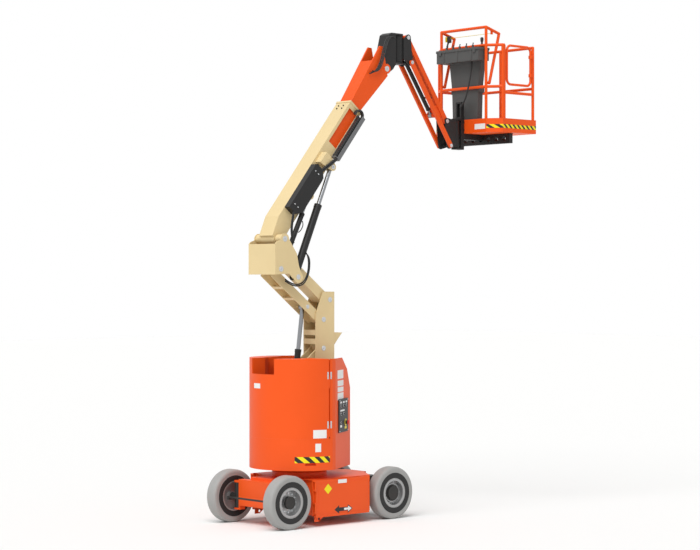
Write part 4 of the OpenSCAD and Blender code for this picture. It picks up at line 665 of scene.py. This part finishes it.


# Hydraulic hoses and sleeved cables: black synthetic rubber over wire braid, mostly 16 mm outside,
# clamped at both ends. Those that cross a pivot are baked in place and ride on no body.
def hose(name, points, radius, body, material):
    """A round hose, cord or bar that runs smoothly from the first point to the last, led by the others."""
    merge_gap = 0.00001
    path = bpy.data.curves.new(name, "CURVE")
    path.dimensions = "3D"
    line = path.splines.new("NURBS")
    line.points.add(len(points) - 1)
    for control, place in zip(line.points, points):
        control.co = (*place, 1)
    line.order_u = min(4, len(points))
    line.use_endpoint_u = True
    line.resolution_u = 6
    path.bevel_depth = radius
    path.bevel_resolution = 3
    path.use_fill_caps = True
    holder = bpy.data.objects.new(name, path)
    bm = bmesh.new()
    bm.from_mesh(bpy.data.meshes.new_from_object(holder))
    bpy.data.objects.remove(holder)
    bmesh.ops.remove_doubles(bm, verts=bm.verts, dist=merge_gap)
    return settle(bm, name, material, body)


hose_rubber = grained("black_hose_rubber", "191919", 0.55, 0.0015, 0.5)
hose_radius, level_radius, cable_radius = 0.008, 0.006, 0.012
knuckle_pitch, knuckle_face, knuckle_fan = 0.018, -0.132, 0.006
pivot_pitch, lift_pitch, cable_pitch = 0.019, 0.020, 0.024

# Three over the knuckle, side by side
for k in range(3):
    shift, out = knuckle_pitch * k, knuckle_face - knuckle_fan * k
    piece = hose(f"knuckle_hose_{k}", [
        (-0.262 + shift, out, 5.478 + shift), (-0.190 + shift, out - 0.012, 5.500),
        (-0.128 + shift, out - 0.016, 5.560), (-0.080 + shift, out - 0.018, 5.690),
        (-0.036 + shift, out - 0.012, 5.830), (0.030 + shift, out + 0.012, 5.945),
        (0.120 + shift, out + 0.045, 5.985), (0.200 + shift, out + 0.070, 5.960)],
        hose_radius, None, hose_rubber)
    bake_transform(piece)

# Two under the jib's arm; points are (distance down the arm, depth under its pins)
jib_down = (pivots["platform_bracket_turn"] - pivots["jib_lift"]).normalized()
jib_in = Vector((jib_down.z, 0, -jib_down.x))
for k, y in enumerate((-0.046, 0.046)):
    hose(f"jib_hose_{k}", [
        pivots["jib_lift"] + jib_down * down + jib_in * deep + Vector((0, y, 0)) for down, deep in (
            (0.25, 0.045), (0.30, 0.105), (0.42, 0.125), (0.58, 0.120), (0.72, 0.110), (0.81, 0.095),
            (0.86, 0.045))],
        hose_radius, "jib_arm", hose_rubber)

# Two past the boom's pivot, and two that loop under the lift cylinder's foot
for k in range(2):
    shift = pivot_pitch * k
    piece = hose(f"pivot_hose_{k}", [
        (-1.556 + shift, -0.200, 3.770), (-1.580 + shift, -0.213, 3.700), (-1.604 + shift, -0.214, 3.600),
        (-1.612 + shift, -0.214, 3.510), (-1.600 + shift, -0.214, 3.430), (-1.582 + shift, -0.214, 3.360)],
        hose_radius, None, hose_rubber)
    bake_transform(piece)
for k in range(2):
    shift = lift_pitch * k
    piece = hose(f"lift_hose_{k}", [
        (-1.392, -0.222, 3.262 - shift), (-1.366 + shift, -0.246, 3.215), (-1.358 + shift, -0.250, 3.100),
        (-1.385 + shift, -0.248, 2.960), (-1.470 + shift, -0.236, 2.850 - shift),
        (-1.590, -0.200, 2.868 - shift), (-1.655, -0.160, 2.930 - shift)],
        hose_radius, None, hose_rubber)
    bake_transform(piece)

# One along the level cylinder, and two sleeved cables from the guard to the tray
hose("level_hose", [
    (-1.404, -0.180, 3.628), (-1.398, -0.196, 3.592), (-1.420, -0.200, 3.545), (-1.448, -0.196, 3.505),
    (-1.470, -0.184, 3.490)],
    level_radius, "level_barrel", hose_rubber)
for k in range(2):
    drop = cable_pitch * k
    hose(f"boom_cable_{k}", [on_boom(along, up - drop, y) for along, up, y in (
        (1.000, 0.050, -0.190), (1.060, 0.046, -0.212), (1.130, 0.030, -0.243), (1.220, 0.004, -0.246),
        (1.290, -0.034, -0.210), (1.350, -0.058, -0.166))],
        cable_radius, "boom", hose_rubber)


# Control console: a rotomoulded box with a lipped lid, ribs on its rear face and two moulded clips,
# a joystick in its rubber boot, toggle levers over the switches and a red stop button.
box_back, box_front, box_half, box_top = 1.4076, 1.6056, 0.380, 5.915
lip_x, lip_y, lid_edge, lid_below, lid_above = 0.010, 0.008, 0.006, 0.030, 0.004
rib_half, rib_foot, rib_proud, rib_sunk, rib_edge, rib_below = 0.010, 5.756, 0.006, 0.010, 0.003, 0.025
clip_half, clip_foot, clip_proud, clip_sunk, clip_edge, clip_above = 0.022, 5.850, 0.014, 0.004, 0.004, 0.006
rib_places, clip_places = (-0.25, 0.0, 0.25), (-0.31, 0.31)
lever_x, lever_z, lever_pitch, lever_lean = 1.4536, 5.957, 0.120, (0.25, 0, 1)
lever_outline = [(0, 0), (0.006, 0), (0.006, 0.014), (0.009, 0.022), (0.007, 0.030), (0, 0.031)]
stick_x, stick_y, stick_seat, stop_y, stop_seat = 1.560, -0.300, 0.003, 0.290, 0.004
stick_outline = [(0, 0), (0.046, 0), (0.046, 0.006), (0.036, 0.016), (0.038, 0.022), (0.028, 0.032),
                 (0.030, 0.038), (0.016, 0.052), (0.013, 0.075), (0.020, 0.090), (0.022, 0.125),
                 (0.014, 0.140), (0, 0.142)]
mushroom_outline = [(0, 0), (0.014, 0), (0.014, 0.016), (0.026, 0.018), (0.027, 0.026), (0.018, 0.034),
                    (0, 0.035)]
bm = bmesh.new()
rounded_box(bm, (box_back - lip_x, -box_half - lip_y, box_top - lid_below),
            (box_front + lip_x, box_half + lip_y, box_top + lid_above), lid_edge)
for y in rib_places:
    rounded_box(bm, (box_back - rib_proud, y - rib_half, rib_foot),
                (box_back + rib_sunk, y + rib_half, box_top - rib_below), rib_edge)
for y in clip_places:
    rounded_box(bm, (box_back - clip_proud, y - clip_half, clip_foot),
                (box_back + clip_sunk, y + clip_half, box_top + clip_above), clip_edge)
settle(bm, "console_lid", plastic_grey, "platform")
bm = bmesh.new()
for k in range(-2, 3):
    knob(bm, (lever_x, k * lever_pitch, lever_z), lever_lean, lever_outline, 16)
knob(bm, (stick_x, stick_y, box_top + stick_seat), upright, stick_outline)
settle(bm, "console_levers", plastic_black, "platform")
bm = bmesh.new()
knob(bm, (stick_x, stop_y, box_top + stop_seat), upright, mushroom_outline)
settle(bm, "console_stop", vivid_red, "platform")


# Trip line over the console: a taut yellow cord between a lug on the right of the hoop and
# a sensor on the left, whose black arm comes up from the console. A cable leaves the console below.
line_x, line_z, line_right, line_left, line_sag, line_radius = 1.634, 6.108, -0.392, 0.360, 0.004, 0.003
console_cable_radius = 0.011
hose("trip_line", [
    (line_x, line_right, line_z), (line_x, 0.0, line_z - line_sag), (line_x, line_left, line_z)],
    line_radius, "platform", vivid_yellow)
# Corners of each piece, from the line's height at the platform's middle, and the radius of its edges
for name, low, high, radius, material, slot in (
        ("trip_lug", (-0.014, -0.414, -0.016), (0.014, -0.392, 0.034), 0.004,
         enamel_orange, "orange_paint"),
        ("trip_sensor", (-0.026, 0.352, -0.060), (0.026, 0.392, 0.030), 0.008,
         plastic_black, "black_plastic"),
        ("trip_cap", (-0.030, 0.393, -0.050), (0.020, 0.422, 0.020), 0.006,
         vivid_yellow, "cream_paint")):
    bm = bmesh.new()
    middle = Vector((line_x, 0, line_z))
    rounded_box(bm, middle + Vector(low), middle + Vector(high), radius)
    settle(bm, name, material, "platform")
hose("trip_arm", [
    (1.580, 0.350, box_top), (1.585, 0.362, 5.990), (1.600, 0.376, 6.040), (line_x, 0.376, line_z - 0.050)],
    cable_radius, "platform", hose_rubber)
hose("console_cable", [
    (1.500, -0.180, 5.752), (1.470, -0.190, 5.600), (1.440, -0.170, 5.380), (1.420, -0.120, 5.220),
    (1.400, -0.060, 5.150)],
    console_cable_radius, "platform", hose_rubber)
